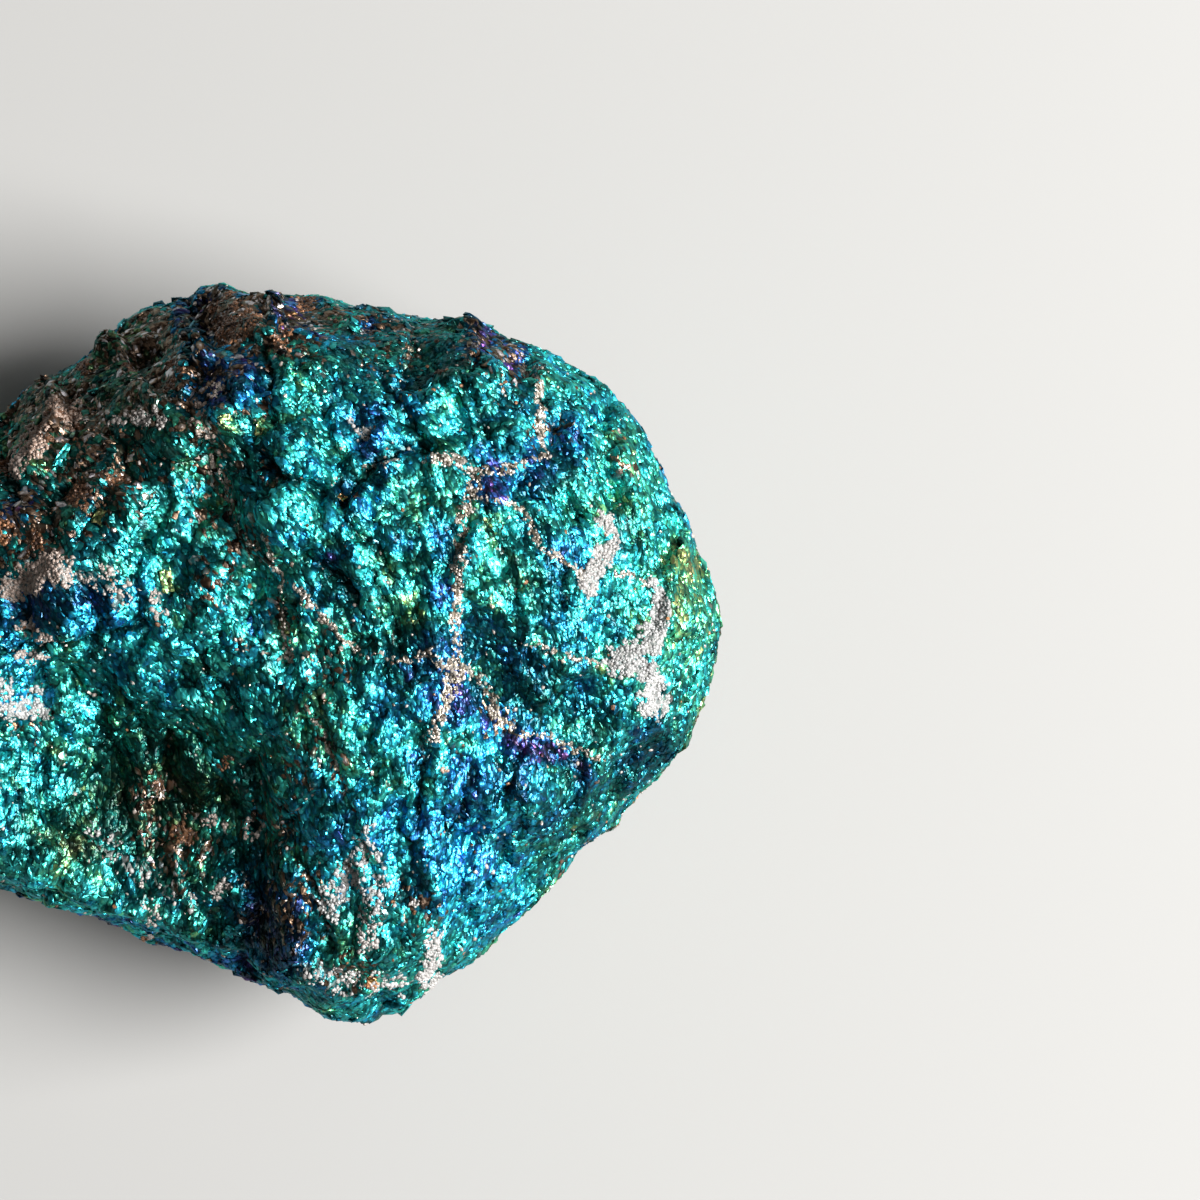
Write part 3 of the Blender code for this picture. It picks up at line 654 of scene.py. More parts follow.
def build_markings(points, normals):
    """Each point's tarnish and what else shows there, and the relief that comes with it."""
    places = as_seen(points)
    facing = smooth_step(0.02, 0.30, normals[:, 2])
    front = facing * smooth_step(*FACE_RISES, points[:, 2])
    wander = sampled(points, FRAY, shift=2.0)
    wander_fine = sampled(points, FINE_FRAY, shift=6.0)
    swell = sampled(points, SWELL, shift=11.0)
    drift = sampled(points, DRIFT, shift=4.0)

    film = 0.62 + 0.16 * drift + 0.16 * wander
    film_behind = 0.58 + 0.55 * swell + 0.12 * drift + 0.12 * wander
    film = film * front + film_behind * (1.0 - front)
    for centre, radius, thickness in TARNISH:
        weight = front * spot(places, centre, radius, 1.0 + 0.45 * drift + 0.35 * wander)
        film = film * (1.0 - weight) + thickness * weight
    film += 0.13 * front * sampled(points, MOTTLE, shift=14.0)

    # Streaks of painted shade, where facets turn from the light.
    streak_shade = sampled(arcs(points, STREAKS_DRAWN), STREAK, shift=5.0)
    # Dark tarnish and painted shade in patches on the sides, where they would mirror the bright floor.
    dark = 0.35 * (1.0 - front) * smooth_step(0.0, 0.5, -swell)
    dark = np.maximum(dark, 0.55 * smooth_step(0.10, 0.42, streak_shade))
    for centre, radius, strength in DARK:
        weight = front * strength * spot(places, centre, radius, 1.0 + 0.5 * wander)
        dark = 1.0 - (1.0 - dark) * (1.0 - weight)

    weather = 0.20 * (1.0 - front)
    for centre, radius, strength in WEATHERED:
        weight = front * strength * spot(places, centre, radius, 1.0 + 0.5 * wander)
        weather = np.maximum(weather, weight)
    weather += 0.12 * drift - 0.07

    height, lean = flat_breaks(places)
    height *= MM * front * smooth_step(0.15, 0.55, normals[:, 2])
    lean *= front
    # Painted shade on breaks that lean left, away from the key light.
    dark = np.maximum(dark, 0.55 * smooth_step(-0.35, -1.0, lean))
    vein = np.zeros(len(points))
    for path, half_width, proud, fullness in VEINS:
        distance, _ = stroke(places + 0.30 * np.stack([wander, wander_fine], 1), path)
        near = front * fullness * np.clip(1.7 - distance / half_width, 0.0, 1.0)
        vein = np.maximum(vein, near)
        height += proud * MM * front * np.exp(-((distance / half_width) ** 2))

    quartz = np.zeros(len(points))
    stain = np.full(len(points), 0.4)
    for patch_stain, fullness, patch in QUARTZ:
        inside = blot(places, patch) + 0.45 * wander + 0.45 * wander_fine
        stain = np.where(inside > -0.3, patch_stain, stain)
        quartz = np.maximum(quartz, fullness * front * smooth_step(-0.20, 0.14, inside))
    ring_x, ring_y, ring_radius, ring_width = RING
    away = np.hypot(places[:, 0] - ring_x, places[:, 1] - ring_y)
    ring = ring_width - np.abs(away - ring_radius)
    quartz = np.maximum(quartz, 0.6 * front * smooth_step(-0.10, 0.08, ring))
    pit = front * np.exp(-((away / (0.8 * ring_radius)) ** 4))
    height -= 0.7 * MM * pit
    # Painted shade in the pit.
    dark = np.maximum(dark, pit)
    height += 0.06 * MM * quartz

    rust = 0.5 * (1.0 - front) * smooth_step(0.42, 0.62, drift + 0.4 * wander)
    for centre, radius in RUST:
        away = np.hypot(*(places - centre).T) / radius
        rust = np.maximum(rust, front * smooth_step(1.15, 0.55, away + 0.7 * wander))

    for path, depth, reach in LEDGES:
        distance, side = stroke(places, path)
        below = np.where(side > 0, np.exp(-distance / reach), 0.0)
        height -= depth * MM * front * below
    for path, half_width, depth in CRACKS:
        distance, _ = stroke(places + 0.25 * np.stack([wander_fine, wander], 1), path)
        inside = front * np.exp(-((distance / half_width) ** 2))
        height -= depth * MM * inside
        # Painted shade in the cracks.
        dark = np.maximum(dark, inside)
    return height, {
        "film": film,
        "dark": dark,
        "vein": vein,
        "quartz": quartz,
        "rust": rust,
        "lean": lean,
        "stain": stain,
        "weather": weather,
    }


def shape_of(piece):
    """The corners and triangles of a modelled grain, which is then put away."""
    bpy.ops.object.mode_set(mode="EDIT")
    bpy.ops.mesh.select_all(action="SELECT")
    bpy.ops.mesh.quads_convert_to_tris()
    bpy.ops.mesh.normals_make_consistent(inside=False)
    bpy.ops.object.mode_set(mode="OBJECT")
    corners = points_of(piece.data)
    triangles = np.array(sorted(tuple(face.vertices) for face in piece.data.polygons))
    bpy.data.objects.remove(piece)
    return corners, triangles


def angular_grain(reach, seed):
    """A grain about one unit long: a ball drawn out and knocked angular."""
    bpy.ops.object.select_all(action="DESELECT")
    bpy.ops.mesh.primitive_ico_sphere_add(subdivisions=1, radius=0.5)
    grain = bpy.context.active_object
    bpy.ops.object.mode_set(mode="EDIT")
    bpy.ops.mesh.select_all(action="SELECT")
    bpy.ops.transform.resize(value=reach)
    bpy.ops.transform.vertex_random(offset=0.10, seed=seed)
    bpy.ops.object.mode_set(mode="OBJECT")
    return shape_of(grain)


def quartz_point(width, tip):
    """A six-sided crystal about one unit high, which narrows to a blunt tip."""
    bpy.ops.object.select_all(action="DESELECT")
    bpy.ops.mesh.primitive_cylinder_add(vertices=6, radius=0.5 * width, depth=1.0 - tip)
    crystal = bpy.context.active_object
    bpy.ops.object.mode_set(mode="EDIT")
    bpy.ops.mesh.select_all(action="DESELECT")
    bpy.ops.mesh.select_mode(type="FACE")
    shape = bmesh.from_edit_mesh(crystal.data)
    for face in shape.faces:
        face.select_set(face.normal.z > 0.9)
    bmesh.update_edit_mesh(crystal.data)
    bpy.ops.mesh.extrude_region_move(TRANSFORM_OT_translate={"value": (0.0, 0.0, tip)})
    bpy.ops.transform.resize(value=(0.2, 0.35, 1.0))
    bpy.ops.object.mode_set(mode="OBJECT")
    return shape_of(crystal)


def spaced(places, spacing, salt):
    """Picks places about a spacing apart: in each cell of a grid, the one nearest its own spot."""
    scaled = places / spacing
    cell = np.floor(scaled).astype(int)
    away = ((scaled - cell - scattered(cell, salt)) ** 2).sum(1)
    order = np.lexsort((away, cell[:, 2], cell[:, 1], cell[:, 0]))
    new_cell = np.any(np.diff(cell[order], axis=0, prepend=cell[order[:1]] - 1) != 0, axis=1)
    return np.sort(order[new_cell])


def strew(name, shapes, surface, hosts, size, tilt, seed):
    """Sets a grain on each host point of a surface and joins them in one mesh.

    Each grain lies along the fracture's arcs, more or less, and is sunk by a share of its size.
    """
    chance = np.random.default_rng(seed)
    places, outward = surface["points"][hosts], surface["normals"][hosts]
    count = len(hosts)
    up = unit(outward + tilt * chance.uniform(-1.0, 1.0, (count, 3)))
    away = places[:, :2] - FRACTURE_START
    arc = unit(np.stack([-away[:, 1], away[:, 0], np.zeros(count)], 1))
    side = unit(np.cross(up, arc + 0.8 * chance.uniform(-1.0, 1.0, (count, 3))))
    along = np.cross(side, up)
    scale = size * np.clip(chance.lognormal(-0.05, 0.32, count), 0.45, 1.7)
    middle = places - SUNK * scale[:, None] * up
    kind = chance.integers(len(shapes), size=count)
    axes = np.stack([along, side, up], 1) * scale[:, None, None]
    marks = {mark: surface[mark][hosts] for mark in ("film", "dark", "weather", "lean", "stain")}
    marks["tone"] = chance.uniform(0.0, 1.0, count)
    return joined(name, shapes, kind, middle, axes, marks)


def joined(name, shapes, kind, middle, axes, marks):
    """One mesh of copies of a few shapes, each with its own middle, axes and marks."""
    corners, triangles, owners, rises = [], [], [], []
    first = 0
    for number, (shape, sides) in enumerate(shapes):
        mine = np.flatnonzero(kind == number)
        corners.append((middle[mine, None] + shape @ axes[mine]).reshape(-1, 3))
        starts = first + np.arange(len(mine)) * len(shape)
        triangles.append((starts[:, None, None] + sides).reshape(-1, 3))
        owners.append(np.repeat(mine, len(shape)))
        rises.append(np.tile(shape[:, 2] / np.abs(shape[:, 2]).max(), len(mine)))
        first += len(mine) * len(shape)
    corners, triangles = np.concatenate(corners), np.concatenate(triangles)
    owners = np.concatenate(owners)
    mesh = bpy.data.meshes.new(name)
    mesh.vertices.add(len(corners))
    mesh.vertices.foreach_set("co", corners.ravel())
    mesh.loops.add(triangles.size)
    mesh.loops.foreach_set("vertex_index", triangles.ravel())
    mesh.polygons.add(len(triangles))
    mesh.polygons.foreach_set("loop_start", 3 * np.arange(len(triangles)))
    mesh.update(calc_edges=True)
    mesh.shade_flat()
    for mark, values in marks.items():
        store(mesh, mark, values[owners])
    # How high on its grain each corner sits; the grain material paints shade low on each grain from it.
    store(mesh, "rise", np.concatenate(rises))
    store_arcs(mesh)
    piece = bpy.data.objects.new(name, mesh)
    bpy.context.scene.collection.objects.link(piece)
    return piece


def cleavage_plate(seed):
    """A flat plate one unit across with broken edges."""
    bpy.ops.object.select_all(action="DESELECT")
    bpy.ops.mesh.primitive_cube_add(size=1.0)
    plate = bpy.context.active_object
    bpy.ops.object.mode_set(mode="EDIT")
    bpy.ops.mesh.select_all(action="SELECT")
    bpy.ops.mesh.subdivide(number_cuts=3, fractal=1.1, seed=seed)
    bpy.ops.transform.resize(value=(1.0, 1.0, 0.40))
    bpy.ops.transform.vertex_random(offset=0.14, seed=seed)
    bpy.ops.object.mode_set(mode="OBJECT")
    return shape_of(plate)


class Nodes:
    """Adds shader nodes from the values and sockets given by name."""

    def __init__(self, material):
        material.use_nodes = True
        self.tree = material.node_tree
        self.tree.nodes.clear()

    def add(self, kind, settings=None, **inputs):
        node = self.tree.nodes.new(kind)
        for name, value in (settings or {}).items():
            setattr(node, name, value)
        for name, value in inputs.items():
            self.set(node, name, value)
        return node

    def set(self, node, name, value):
        key = int(name[1:]) if name[0] == "i" and name[1:].isdigit() else name.replace("_", " ")
        socket = node.inputs[key]
        if isinstance(value, bpy.types.NodeSocket):
            self.tree.links.new(value, socket)
        else:
            socket.default_value = value

    def math(self, operation, *values):
        node = self.add("ShaderNodeMath", {"operation": operation})
        for place, value in enumerate(values):
            self.set(node, f"i{place}", value)
        return node.outputs[0]

    def product(self, first, *others):
        for other in others:
            first = self.math("MULTIPLY", first, other)
        return first

    def vector(self, operation, *values):
        node = self.add("ShaderNodeVectorMath", {"operation": operation})
        for place, value in enumerate(values):
            if operation == "SCALE" and place == 1:
                self.set(node, "Scale", value)
            else:
                self.set(node, f"i{place}", value)
        return node.outputs[0]

    def step(self, value, low, high, start=0.0, end=1.0):
        node = self.add("ShaderNodeMapRange", {"interpolation_type": "SMOOTHSTEP"})
        for place, given in enumerate((value, low, high, start, end)):
            self.set(node, f"i{place}", given)
        return node.outputs[0]

    def mix(self, share, first, second):
        node = self.add("ShaderNodeMix", {"data_type": "RGBA"})
        self.set(node, "i0", share)
        self.set(node, "i6", first)
        self.set(node, "i7", second)
        return node.outputs[2]

    def channels(self, texture):
        """The red, green and blue of a texture's colour: three random numbers for each cell."""
        return self.add("ShaderNodeSeparateColor", Color=texture.outputs["Color"]).outputs

    def attribute(self, name):
        return self.add("ShaderNodeAttribute", {"attribute_name": name}).outputs["Fac"]

    def ramp(self, share, stops):
        node = self.add("ShaderNodeValToRGB", Fac=share)
        ramp = node.color_ramp
        while len(ramp.elements) > 1:
            ramp.elements.remove(ramp.elements[-1])
        for place, (position, colour) in enumerate(stops):
            element = ramp.elements[0] if place == 0 else ramp.elements.new(position)
            element.position = position
            element.color = colour
        return node.outputs["Color"]


def rounded_grains(nodes, place, size, roundness, tilt):
    """Packed round grains: their texture, and how each turns the surface away from its normal."""
    grains = nodes.add("ShaderNodeTexVoronoi", Vector=place, Scale=1.0 / size)
    away = nodes.vector("SUBTRACT", place, grains.outputs["Position"])
    bulge = nodes.vector("SCALE", away, roundness / size)
    lean = nodes.vector("SUBTRACT", grains.outputs["Color"], (0.5, 0.5, 0.5))
    return grains, nodes.vector("ADD", bulge, nodes.vector("SCALE", lean, tilt))


def bent_arcs(nodes, size):
    """Places among the fracture's arcs, waved a little so that nothing lines up."""
    place = nodes.add("ShaderNodeAttribute", {"attribute_name": "arcs"}).outputs["Vector"]
    bend = nodes.add("ShaderNodeTexNoise", Vector=place, Scale=0.7 / size, Detail=2.0)
    return nodes.vector("ADD", place, nodes.vector("SCALE", bend.outputs["Color"], 0.6 * size))


def out_of_arcs(nodes, turn):
    """Turns a vector told by the fracture's arcs back into the stone's own axes."""
    place = nodes.add("ShaderNodeTexCoord").outputs["Object"]
    away = nodes.vector("SUBTRACT", place, (*FRACTURE_START, 0.0))
    outward = nodes.vector("NORMALIZE", nodes.vector("MULTIPLY", away, (1.0, 1.0, 0.0)))
    round_arc = nodes.vector("CROSS_PRODUCT", (0.0, 0.0, 1.0), outward)
    parts = nodes.add("ShaderNodeSeparateXYZ", Vector=turn)
    return nodes.vector(
        "ADD",
        nodes.vector("SCALE", outward, parts.outputs["X"]),
        nodes.vector(
            "ADD",
            nodes.vector("SCALE", round_arc, parts.outputs["Y"]),
            nodes.vector("SCALE", (0.0, 0.0, 1.0), parts.outputs["Z"]),
        ),
    )


def turned_normal(nodes, turn):
    """The surface normal with a turn added."""
    facing = nodes.add("ShaderNodeNewGeometry").outputs["Normal"]
    return nodes.vector("NORMALIZE", nodes.vector("ADD", facing, turn))


def tarnished_metal(nodes, film, shade, colours):
    """The film's colour, darkened by dark tarnish and painted shade where the stone is dark, with
    painted light where it leans right toward the key light and painted shade where it leans away.
    """
    tarnish = nodes.ramp(film, FILM_COLOURS)
    dark = nodes.math("SUBTRACT", 1.0, nodes.product(nodes.attribute("dark"), 0.92))
    lean_light_and_shade = nodes.step(nodes.attribute("lean"), -0.9, 0.8, 0.55, 1.15)
    return nodes.mix(nodes.product(shade, dark, lean_light_and_shade), colours.gap, tarnish)


def weathered(nodes, metal, chance, tone, colours):
    """Metal of which a part, by chance, is dulled to brown limonite or frosted grey."""
    stops = ((0.0, BLACKENED_AND_SHADE), (0.60, colours.limonite), (0.85, TAN), (1.0, FROSTED))
    brown = nodes.ramp(tone, stops)
    weather = nodes.math("MULTIPLY_ADD", chance, -0.9, nodes.attribute("weather"))
    return nodes.mix(nodes.step(weather, -0.08, 0.04), metal, brown)


def finished(nodes, colour, metallic, roughness, facing, tint=(1.0, 1.0, 1.0, 1.0)):
    surface = nodes.add(
        "ShaderNodeBsdfPrincipled",
        Base_Color=colour,
        Metallic=metallic,
        Roughness=roughness,
        Normal=facing,
        Specular_Tint=tint,
        Coat_Weight=0.15,
        Coat_Roughness=0.12,
        Coat_IOR=1.7,
    )
    nodes.tree.links.new(facing, surface.inputs["Coat Normal"])
    nodes.add("ShaderNodeOutputMaterial", Surface=surface.outputs[0])


def ore_material(sizes, colours):
    """Metal grains, each facing its own way under a film whose thickness sets its colour, with painted
    shade at grain edges, in clump creases and under the loose grains.
    """
    material = bpy.data.materials.new("tarnished_face")
    nodes = Nodes(material)
    place = bent_arcs(nodes, sizes.clump)
    clump, clump_turn = rounded_grains(nodes, place, sizes.clump, roundness=0.50, tilt=0.50)
    grain, turn = rounded_grains(nodes, place, 0.8 * sizes.grain, roundness=0.40, tilt=0.40)
    fine, fine_turn = rounded_grains(nodes, place, 0.4 * sizes.grain, roundness=0.20, tilt=0.30)
    channels = nodes.channels(grain)
    fine_channels = nodes.channels(fine)
    turn = nodes.vector("ADD", clump_turn, nodes.vector("ADD", turn, fine_turn))
    facing = turned_normal(nodes, out_of_arcs(nodes, turn))

    film = nodes.attribute("film")
    film = nodes.math("MULTIPLY_ADD", channels["Red"], 0.14, film)
    film = nodes.math("MULTIPLY_ADD", fine_channels["Red"], 0.08, film)
    film = nodes.math("SUBTRACT", film, 0.11)
    shade = nodes.step(channels["Green"], 0.0, 0.9, 0.45, 1.1)
    # Painted shade at the edges of each grain, where grains meet.
    gap = nodes.step(grain.outputs["Distance"], 0.80, 0.50, 0.25, 1.0)
    # Painted shade in the creases between clumps.
    clump_edge_shade = nodes.step(clump.outputs["Distance"], 0.95, 0.60, 0.45, 1.0)
    # The 0.50 is painted shade over the whole base surface, which lies under the loose grains.
    metal = tarnished_metal(nodes, film, nodes.product(shade, gap, clump_edge_shade, 0.50), colours)
    metal = weathered(nodes, metal, channels["Blue"], fine_channels["Green"], colours)

    speck = nodes.math("MULTIPLY_ADD", fine_channels["Blue"], 1.2, 0.4)
    crumb = nodes.step(fine_channels["Green"], 0.0, 1.0, 0.2, 1.0)
    colour = metal
    shown = {}
    for mark, full in (("vein", 0.60), ("rust", 0.70), ("quartz", 0.70)):
        shown[mark] = nodes.step(nodes.product(nodes.attribute(mark), speck), 0.35, full)
        bits = nodes.mix(crumb, colours.gap, getattr(colours, mark))
        colour = nodes.mix(shown[mark], colour, bits)

    dull = nodes.math("MAXIMUM", nodes.product(shown["rust"], 0.8), shown["quartz"])
    metallic = nodes.product(nodes.math("SUBTRACT", 1.0, dull), 0.95)
    roughness = nodes.step(dull, 0.0, 1.0, 0.40, 0.62)
    finished(nodes, colour, metallic, roughness, facing, METAL_TINT)
    return material


def grain_material(sizes, colours):
    """Loose-edged metal grains, each with its own brightness and film, some of them weathered, with
    painted shade at each grain's foot and in clump creases.
    """
    material = bpy.data.materials.new("tarnished_grains")
    nodes = Nodes(material)
    place = bent_arcs(nodes, sizes.clump)
    clump, clump_turn = rounded_grains(nodes, place, sizes.clump, roundness=0.50, tilt=0.50)
    fine, fine_turn = rounded_grains(nodes, place, 0.4 * sizes.grain, roundness=0.20, tilt=0.15)
    facing = turned_normal(nodes, out_of_arcs(nodes, nodes.vector("ADD", clump_turn, fine_turn)))
    channels = nodes.channels(fine)
    tone = nodes.attribute("tone")
    film = nodes.math("MULTIPLY_ADD", tone, 0.20, nodes.attribute("film"))
    film = nodes.math("MULTIPLY_ADD", channels["Red"], 0.08, film)
    film = nodes.math("SUBTRACT", film, 0.14)
    other_tone = nodes.math("FRACT", nodes.product(tone, 17.3))
    shade = nodes.step(other_tone, 0.0, 0.9, 0.50, 1.25)
    mottle = nodes.step(channels["Green"], 0.0, 1.0, 0.7, 1.1)
    # Painted shade low on each grain, darker towards its foot where it meets its neighbours.
    grain_foot_shade = nodes.step(nodes.attribute("rise"), -0.1, 0.75, 0.10, 1.15)
    # Painted shade in the creases between clumps.
    clump_edge_shade = nodes.step(clump.outputs["Distance"], 0.95, 0.60, 0.45, 1.0)
    metal = tarnished_metal(nodes, film, nodes.product(shade, mottle, grain_foot_shade, clump_edge_shade), colours)
    odd_tone = nodes.math("FRACT", nodes.product(tone, 61.7))
    # The weathered colours also take the painted shade at each grain's foot, towards black.
    metal = weathered(nodes, metal, odd_tone, nodes.product(other_tone, grain_foot_shade), colours)
    roughness = nodes.step(channels["Blue"], 0.0, 1.0, 0.28, 0.46)
    finished(nodes, metal, 0.95, roughness, facing, METAL_TINT)
    return material


def plate_material(sizes, colours):
    """Smooth bright plates with a thin mottled film and fine pits, with painted shade at the pits'
    edges.
    """
    material = bpy.data.materials.new("tarnished_plates")
    nodes = Nodes(material)
    place = nodes.add("ShaderNodeTexCoord").outputs["Object"]
    fine, turn = rounded_grains(nodes, place, 0.6 * sizes.grain, roundness=0.30, tilt=0.40)
    channels = nodes.channels(fine)
    film = nodes.math("MULTIPLY_ADD", channels["Red"], 0.14, nodes.attribute("film"))
    # Painted shade at the edges of the fine pits.
    gap = nodes.step(fine.outputs["Distance"], 0.80, 0.45, 0.3, 1.0)
    shade = nodes.product(nodes.step(channels["Green"], 0.0, 1.0, 0.45, 1.0), gap)
    metal = tarnished_metal(nodes, nodes.math("SUBTRACT", film, 0.07), shade, colours)
    roughness = nodes.step(channels["Blue"], 0.0, 1.0, 0.25, 0.40)
    finished(nodes, metal, 0.95, roughness, turned_normal(nodes, turn), METAL_TINT)
    return material


def crumb_material(name, dull, bright, stained, metallic, roughness, soot_and_shade, sizes):
    """Crumbs from dull to bright, some stained, some blackened by soot and painted shade in dark
    places, with a finely pitted surface.
    """
    material = bpy.data.materials.new(name)
    nodes = Nodes(material)
    place = nodes.add("ShaderNodeTexCoord").outputs["Object"]
    fine, turn = rounded_grains(nodes, place, 0.3 * sizes.grain, roundness=0.15, tilt=0.30)
    channels = nodes.channels(fine)
    tone = nodes.math("MULTIPLY_ADD", channels["Red"], 0.3, nodes.attribute("tone"))
    colour = nodes.mix(nodes.step(tone, 0.1, 1.1), dull, bright)
    colour = nodes.mix(nodes.product(nodes.attribute("stain"), 0.85), colour, stained)
    # Soot and painted shade: blackened where the stone is dark.
    colour = nodes.mix(nodes.product(nodes.attribute("dark"), soot_and_shade), colour, BLACKENED_AND_SHADE)
    rough = nodes.step(channels["Blue"], 0.0, 1.0, 0.8 * roughness, 1.2 * roughness)
    finished(nodes, colour, metallic, rough, turned_normal(nodes, turn))
    return material


class ORE_OT_broken_stone(Operator):
    """Divides a copy of the solid stone finely, breaks its surface up and tarnishes it"""

    bl_idname = "ore.broken_stone"
    bl_label = "Broken stone"

    def execute(self, context):
        sizes, colours = context.scene.ore_sizes, context.scene.ore_colours
        piece = copy_of_solid("broken_stone")
        mesh = piece.data
        divide(mesh, sizes.edge_in_front, sizes.edge_behind)
        points, normals = points_of(mesh), normals_of(mesh)
        coarse, small = relief(points, sizes)
        coarse *= 0.3 + 0.7 * smooth_step(0.15, 0.55, np.abs(normals[:, 2]))
        marked, marks = build_markings(points, normals)
        risen = smooth_step(*RELIEF_RISES, points[:, 2])
        points += normals * ((coarse + small + marked) * risen)[:, None]
        points[:, 2] = np.maximum(points[:, 2], 0.0)
        mesh.vertices.foreach_set("co", points.ravel())
        mesh.update()
        bpy.ops.object.shade_smooth()
        for name, values in marks.items():
            store(mesh, name, values)
        store_arcs(mesh)
        mesh.materials.append(ore_material(sizes, colours))
        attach(piece, "root")
        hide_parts(NODE)
        return {"FINISHED"}


class ORE_OT_ore_grains(Operator):
    """Sets angular metal grains all over the stone, finest on the right of its broad face"""

    bl_idname = "ore.ore_grains"
    bl_label = "Ore grains"

    def execute(self, context):
        sizes, colours = context.scene.ore_sizes, context.scene.ore_colours
        surface = surface_of(bpy.data.objects["broken_stone"], GRAIN_POINTS, seed=2)
        points = surface["points"]
        normals = surface["normals"]
        upward = normals[:, 2] > 0.05
        steep = smooth_step(0.40, 0.85, normals[:, 0]) * smooth_step(0.15, 0.45, normals[:, 2])
        surface["normals"] = unit(normals + steep[:, None] * RIM_TREAD)
        shapes = [angular_grain(reach, seed) for seed, reach in enumerate(GRAIN_REACHES, 1)]
        material = grain_material(sizes, colours)
        marks = [filled(surface, mark, CELL) for mark in ("vein", "quartz", "rust")]
        bare = (np.maximum.reduce(marks) < FILLED) & (points[:, 2] > GRAINS_BEGIN)
        front = bare & upward & (points[:, 2] > FACE_BEGINS)
        right = front & (points[:, 0] > LEFT_ENDS)
        left = front & ~right
        for name, area, spacing in (
            ("right_grains", right, RIGHT_SPACING * sizes.grain),
            ("left_grains", left, LEFT_SPACING * sizes.grain),
            ("side_grains", bare & ~front, SIDE_SPACING * sizes.grain),
        ):
            hosts = np.flatnonzero(area)
            hosts = hosts[spaced(arcs(points[hosts], GRAINS_DRAWN), spacing, salt=31)]
            size = GRAIN_SHARE * spacing
            piece = strew(name, shapes, surface, hosts, size, GRAIN_TILT, seed=5)
            piece.data.materials.append(material)
            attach(piece, "root")
        return {"FINISHED"}


class ORE_OT_plates(Operator):
    """Sets a few larger bright cleavage plates, most of them in the left of the broad face"""

    bl_idname = "ore.plates"
    bl_label = "Cleavage plates"

    def execute(self, context):
        sizes, colours = context.scene.ore_sizes, context.scene.ore_colours
        surface = surface_of(bpy.data.objects["broken_stone"], PLATE_POINTS, seed=5)
        shapes = [cleavage_plate(seed) for seed in (1, 2, 3)]
        table = np.array(PLATES)
        seen = as_seen(surface["points"])
        hidden = np.where(surface["normals"][:, 2] > 0.2, 0.0, 100.0)
        hosts = [int(np.argmin(np.hypot(*(seen - row[:2]).T) + hidden)) for row in table]
        up = unit(0.7 * GLINT + surface["normals"][hosts])
        heading = np.radians(table[:, 4])
        way = np.stack([np.cos(heading), np.sin(heading), np.zeros(len(table))], 1)
        side = unit(np.cross(up, way))
        along = np.cross(side, up)
        length, width = PLATE_SHARE * MM * table[:, 2, None], PLATE_SHARE * MM * table[:, 3, None]
        axes = np.stack([length * along, width * side, 0.9 * width * up], 1)
        middle = surface["points"][hosts] - PLATE_SUNK * up
        marks = {mark: np.zeros(len(table)) for mark in ("dark", "lean", "stain")}
        marks["weather"] = np.full(len(table), -1.0)
        marks["film"] = table[:, 5]
        marks["tone"] = np.full(len(table), 0.5)
        kind = np.arange(len(table)) % len(shapes)
        piece = joined("bright_plates", shapes, kind, middle, axes, marks)
        piece.data.materials.append(plate_material(sizes, colours))
        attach(piece, "root")
        return {"FINISHED"}


class ORE_OT_crumbs(Operator):
    """Fills the veins with pale beads, the white patches with quartz and the rust with crumbs"""

    bl_idname = "ore.crumbs"
    bl_label = "Vein beads, quartz and rust"

    def execute(self, context):
        sizes, colours = context.scene.ore_sizes, context.scene.ore_colours
        surface = surface_of(bpy.data.objects["broken_stone"], CRUMB_POINTS, seed=3)
        grains = [
            angular_grain((1.2, 1.0, 0.9), seed=11),
            angular_grain((1.4, 0.9, 0.8), seed=12),
        ]
        points = [quartz_point(width=0.55, tip=0.30), quartz_point(width=0.80, tip=0.25)]
        # Mark, shapes, spacing and size in grains, share of stray crumbs, and a slot.
        crumbs = {
            "vein_beads": ("vein", grains, 0.52, 0.52, 0.0010, "quartz"),
            "quartz_crystals": ("quartz", grains + points, 0.52, 0.66, 0.0005, "quartz"),
            "rust_crumbs": ("rust", grains, 0.60, 0.62, 0.0006, "tarnished_ore"),
        }
        # Dull, bright and stained colours, how metallic and rough, and how far soot and painted shade
        # blacken them in dark places.
        finishes = {
            "vein_beads": (VEIN_DULL, VEIN_BRIGHT, colours.vein, 0.5, 0.35, 0.4),
            "quartz_crystals": (QUARTZ_DULL, QUARTZ_BRIGHT, QUARTZ_STAINED, 0.0, 0.40, 0.15),
            "rust_crumbs": (RUST_DULL, RUST_BRIGHT, colours.rust, 0.4, 0.45, 0.7),
        }
        chance = np.random.default_rng(8)
        for name, (mark, shapes, spacing, size, stray, slot) in crumbs.items():
            inside = filled(surface, mark, CELL) > FILLED
            astray = chance.random(len(inside)) < stray
            high = surface["points"][:, 2] > GRAINS_BEGIN
            hosts = np.flatnonzero((inside | astray) & high)
            hosts = hosts[spaced(surface["points"][hosts], spacing * sizes.grain, salt=41)]
            piece = strew(name, shapes, surface, hosts, size * sizes.grain, CRUMB_TILT, seed=6)
            piece.data.materials.append(crumb_material(name, *finishes[name], sizes))
            if mark == "quartz":
                piece.data.shade_smooth()
            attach(piece, "root")
        return {"FINISHED"}


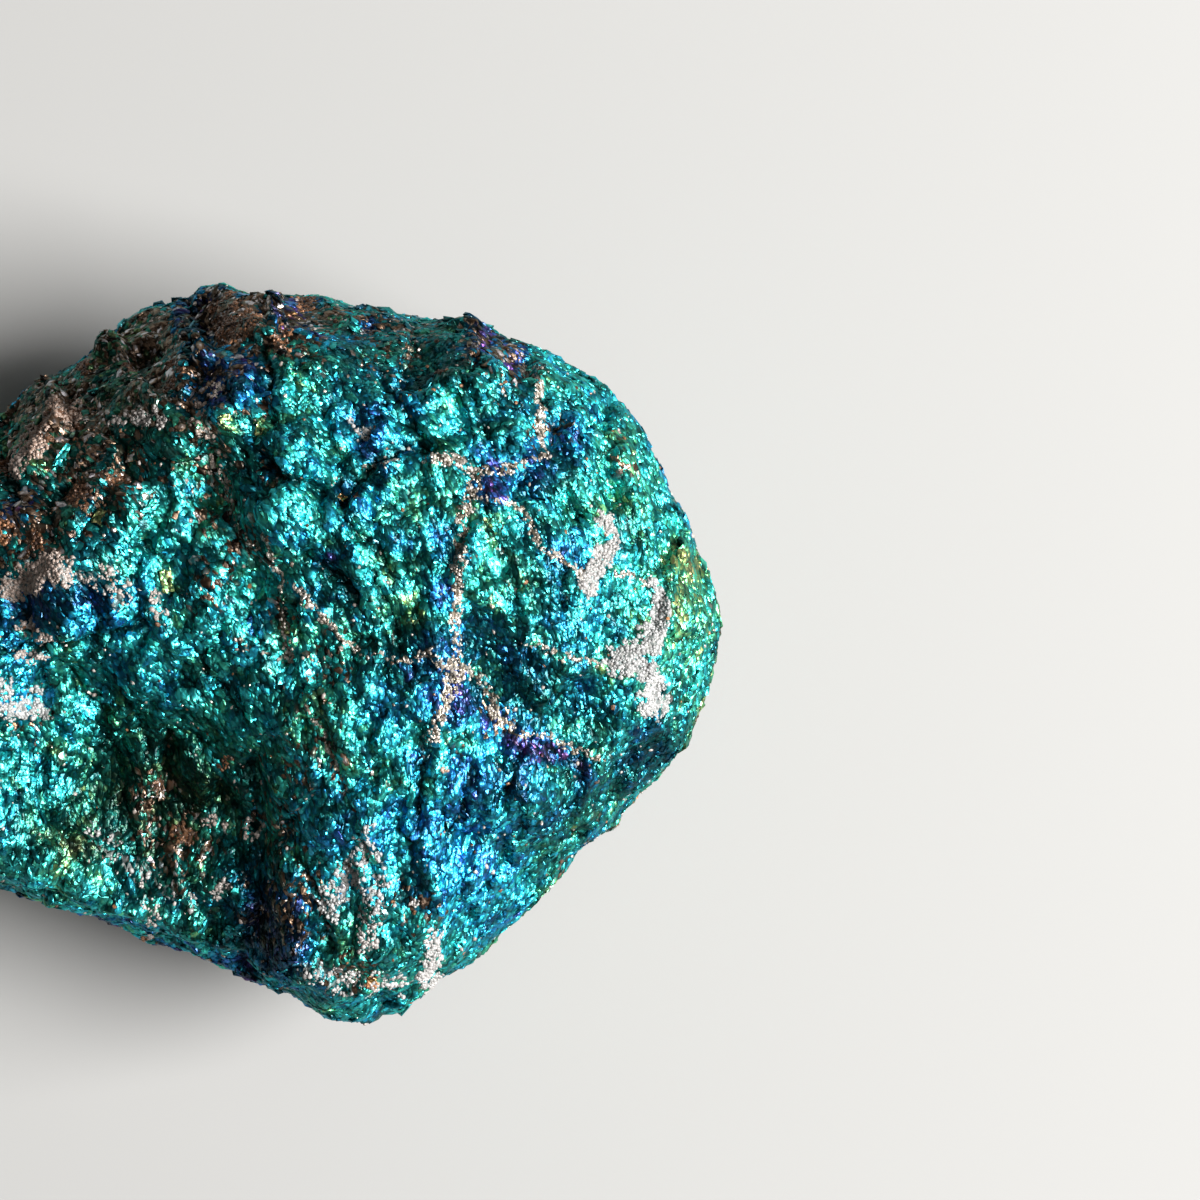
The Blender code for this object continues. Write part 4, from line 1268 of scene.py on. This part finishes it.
# The studio, in metres and watts: lamps as place, size and power.
FLOOR_SIZE = 6.0
FLOOR_COLOUR = (0.31, 0.305, 0.295, 1.0)
LIGHT_TARGET = Vector((0.0, 0.0, 0.012))
KEY_LIGHT = ((0.41, -0.02, 0.38), 0.30, 10.6)
WIDE_LIGHT = ((0.16, 0.00, 0.60), 0.50, 0.7)
BACKDROP_COLOUR = (0.80, 0.78, 0.74, 1.0)
BACKDROP_STRENGTH = 0.05
LENS = 135.0
SENSOR_WIDTH = 36.0


def plain_material(name, colour, roughness):
    material = bpy.data.materials.new(name)
    nodes = Nodes(material)
    surface = nodes.add("ShaderNodeBsdfPrincipled", Base_Color=colour, Roughness=roughness)
    nodes.add("ShaderNodeOutputMaterial", Surface=surface.outputs[0])
    return material


def add_softbox(name, place, size, power):
    lamp = bpy.data.lights.new(name, "AREA")
    lamp.shape = "SQUARE"
    lamp.size = size
    lamp.energy = power
    holder = bpy.data.objects.new(name, lamp)
    holder.location = place
    aim = LIGHT_TARGET - Vector(place)
    holder.rotation_mode = "QUATERNION"
    holder.rotation_quaternion = aim.to_track_quat("-Z", "Y")
    bpy.context.scene.collection.objects.link(holder)


class ORE_OT_studio(Operator):
    """Lays a pale floor, hangs soft lights and sets the camera over the stone's broad face"""

    bl_idname = "ore.studio"
    bl_label = "Studio"

    def execute(self, context):
        bpy.ops.object.select_all(action="DESELECT")
        bpy.ops.mesh.primitive_plane_add(size=FLOOR_SIZE, location=(0.0, 0.0, -0.1 * MM))
        floor = context.active_object
        floor.name = "studio_floor"
        floor.data.materials.append(plain_material("pale_floor", FLOOR_COLOUR, 0.8))

        add_softbox("key", *KEY_LIGHT)
        add_softbox("wide", *WIDE_LIGHT)

        world = bpy.data.worlds.new("studio")
        world.use_nodes = True
        backdrop = world.node_tree.nodes["Background"]
        backdrop.inputs["Color"].default_value = BACKDROP_COLOUR
        backdrop.inputs["Strength"].default_value = BACKDROP_STRENGTH
        context.scene.world = world

        camera = bpy.data.cameras.new("camera")
        camera.lens = LENS
        camera.sensor_width = SENSOR_WIDTH
        camera.clip_start = 0.01
        holder = bpy.data.objects.new("camera", camera)
        holder.location = EYE
        context.scene.collection.objects.link(holder)
        context.scene.camera = holder
        context.scene.view_settings.view_transform = "Standard"
        return {"FINISHED"}


class ORE_PT_panel(Panel):
    """Lists the stone's pieces and its sizes and colours"""

    bl_label = "Peacock Ore"
    bl_idname = "ORE_PT_panel"
    bl_space_type = "VIEW_3D"
    bl_region_type = "UI"
    bl_category = "Peacock Ore"

    def draw(self, context):
        for group in (context.scene.ore_sizes, context.scene.ore_colours):
            for name in group.__annotations__:
                self.layout.prop(group, name)
        for operator in OPERATORS:
            self.layout.operator(operator.bl_idname)


GROUPS = {"ore_sizes": OreSizes, "ore_colours": OreColours}
OPERATORS = (
    ORE_OT_broken_stone,
    ORE_OT_ore_grains,
    ORE_OT_plates,
    ORE_OT_crumbs,
    ORE_OT_studio,
)


def register():
    for kind in (*GROUPS.values(), *OPERATORS, ORE_PT_panel):
        bpy.utils.register_class(kind)
    for name, group in GROUPS.items():
        setattr(bpy.types.Scene, name, PointerProperty(type=group))


def unregister():
    for name in GROUPS:
        delattr(bpy.types.Scene, name)
    for kind in reversed((*GROUPS.values(), *OPERATORS, ORE_PT_panel)):
        bpy.utils.unregister_class(kind)


def main():
    register()
    bpy.ops.ore.broken_stone()
    bpy.ops.ore.ore_grains()
    bpy.ops.ore.plates()
    bpy.ops.ore.crumbs()
    bpy.ops.ore.studio()


if __name__ == "__main__":
    main()
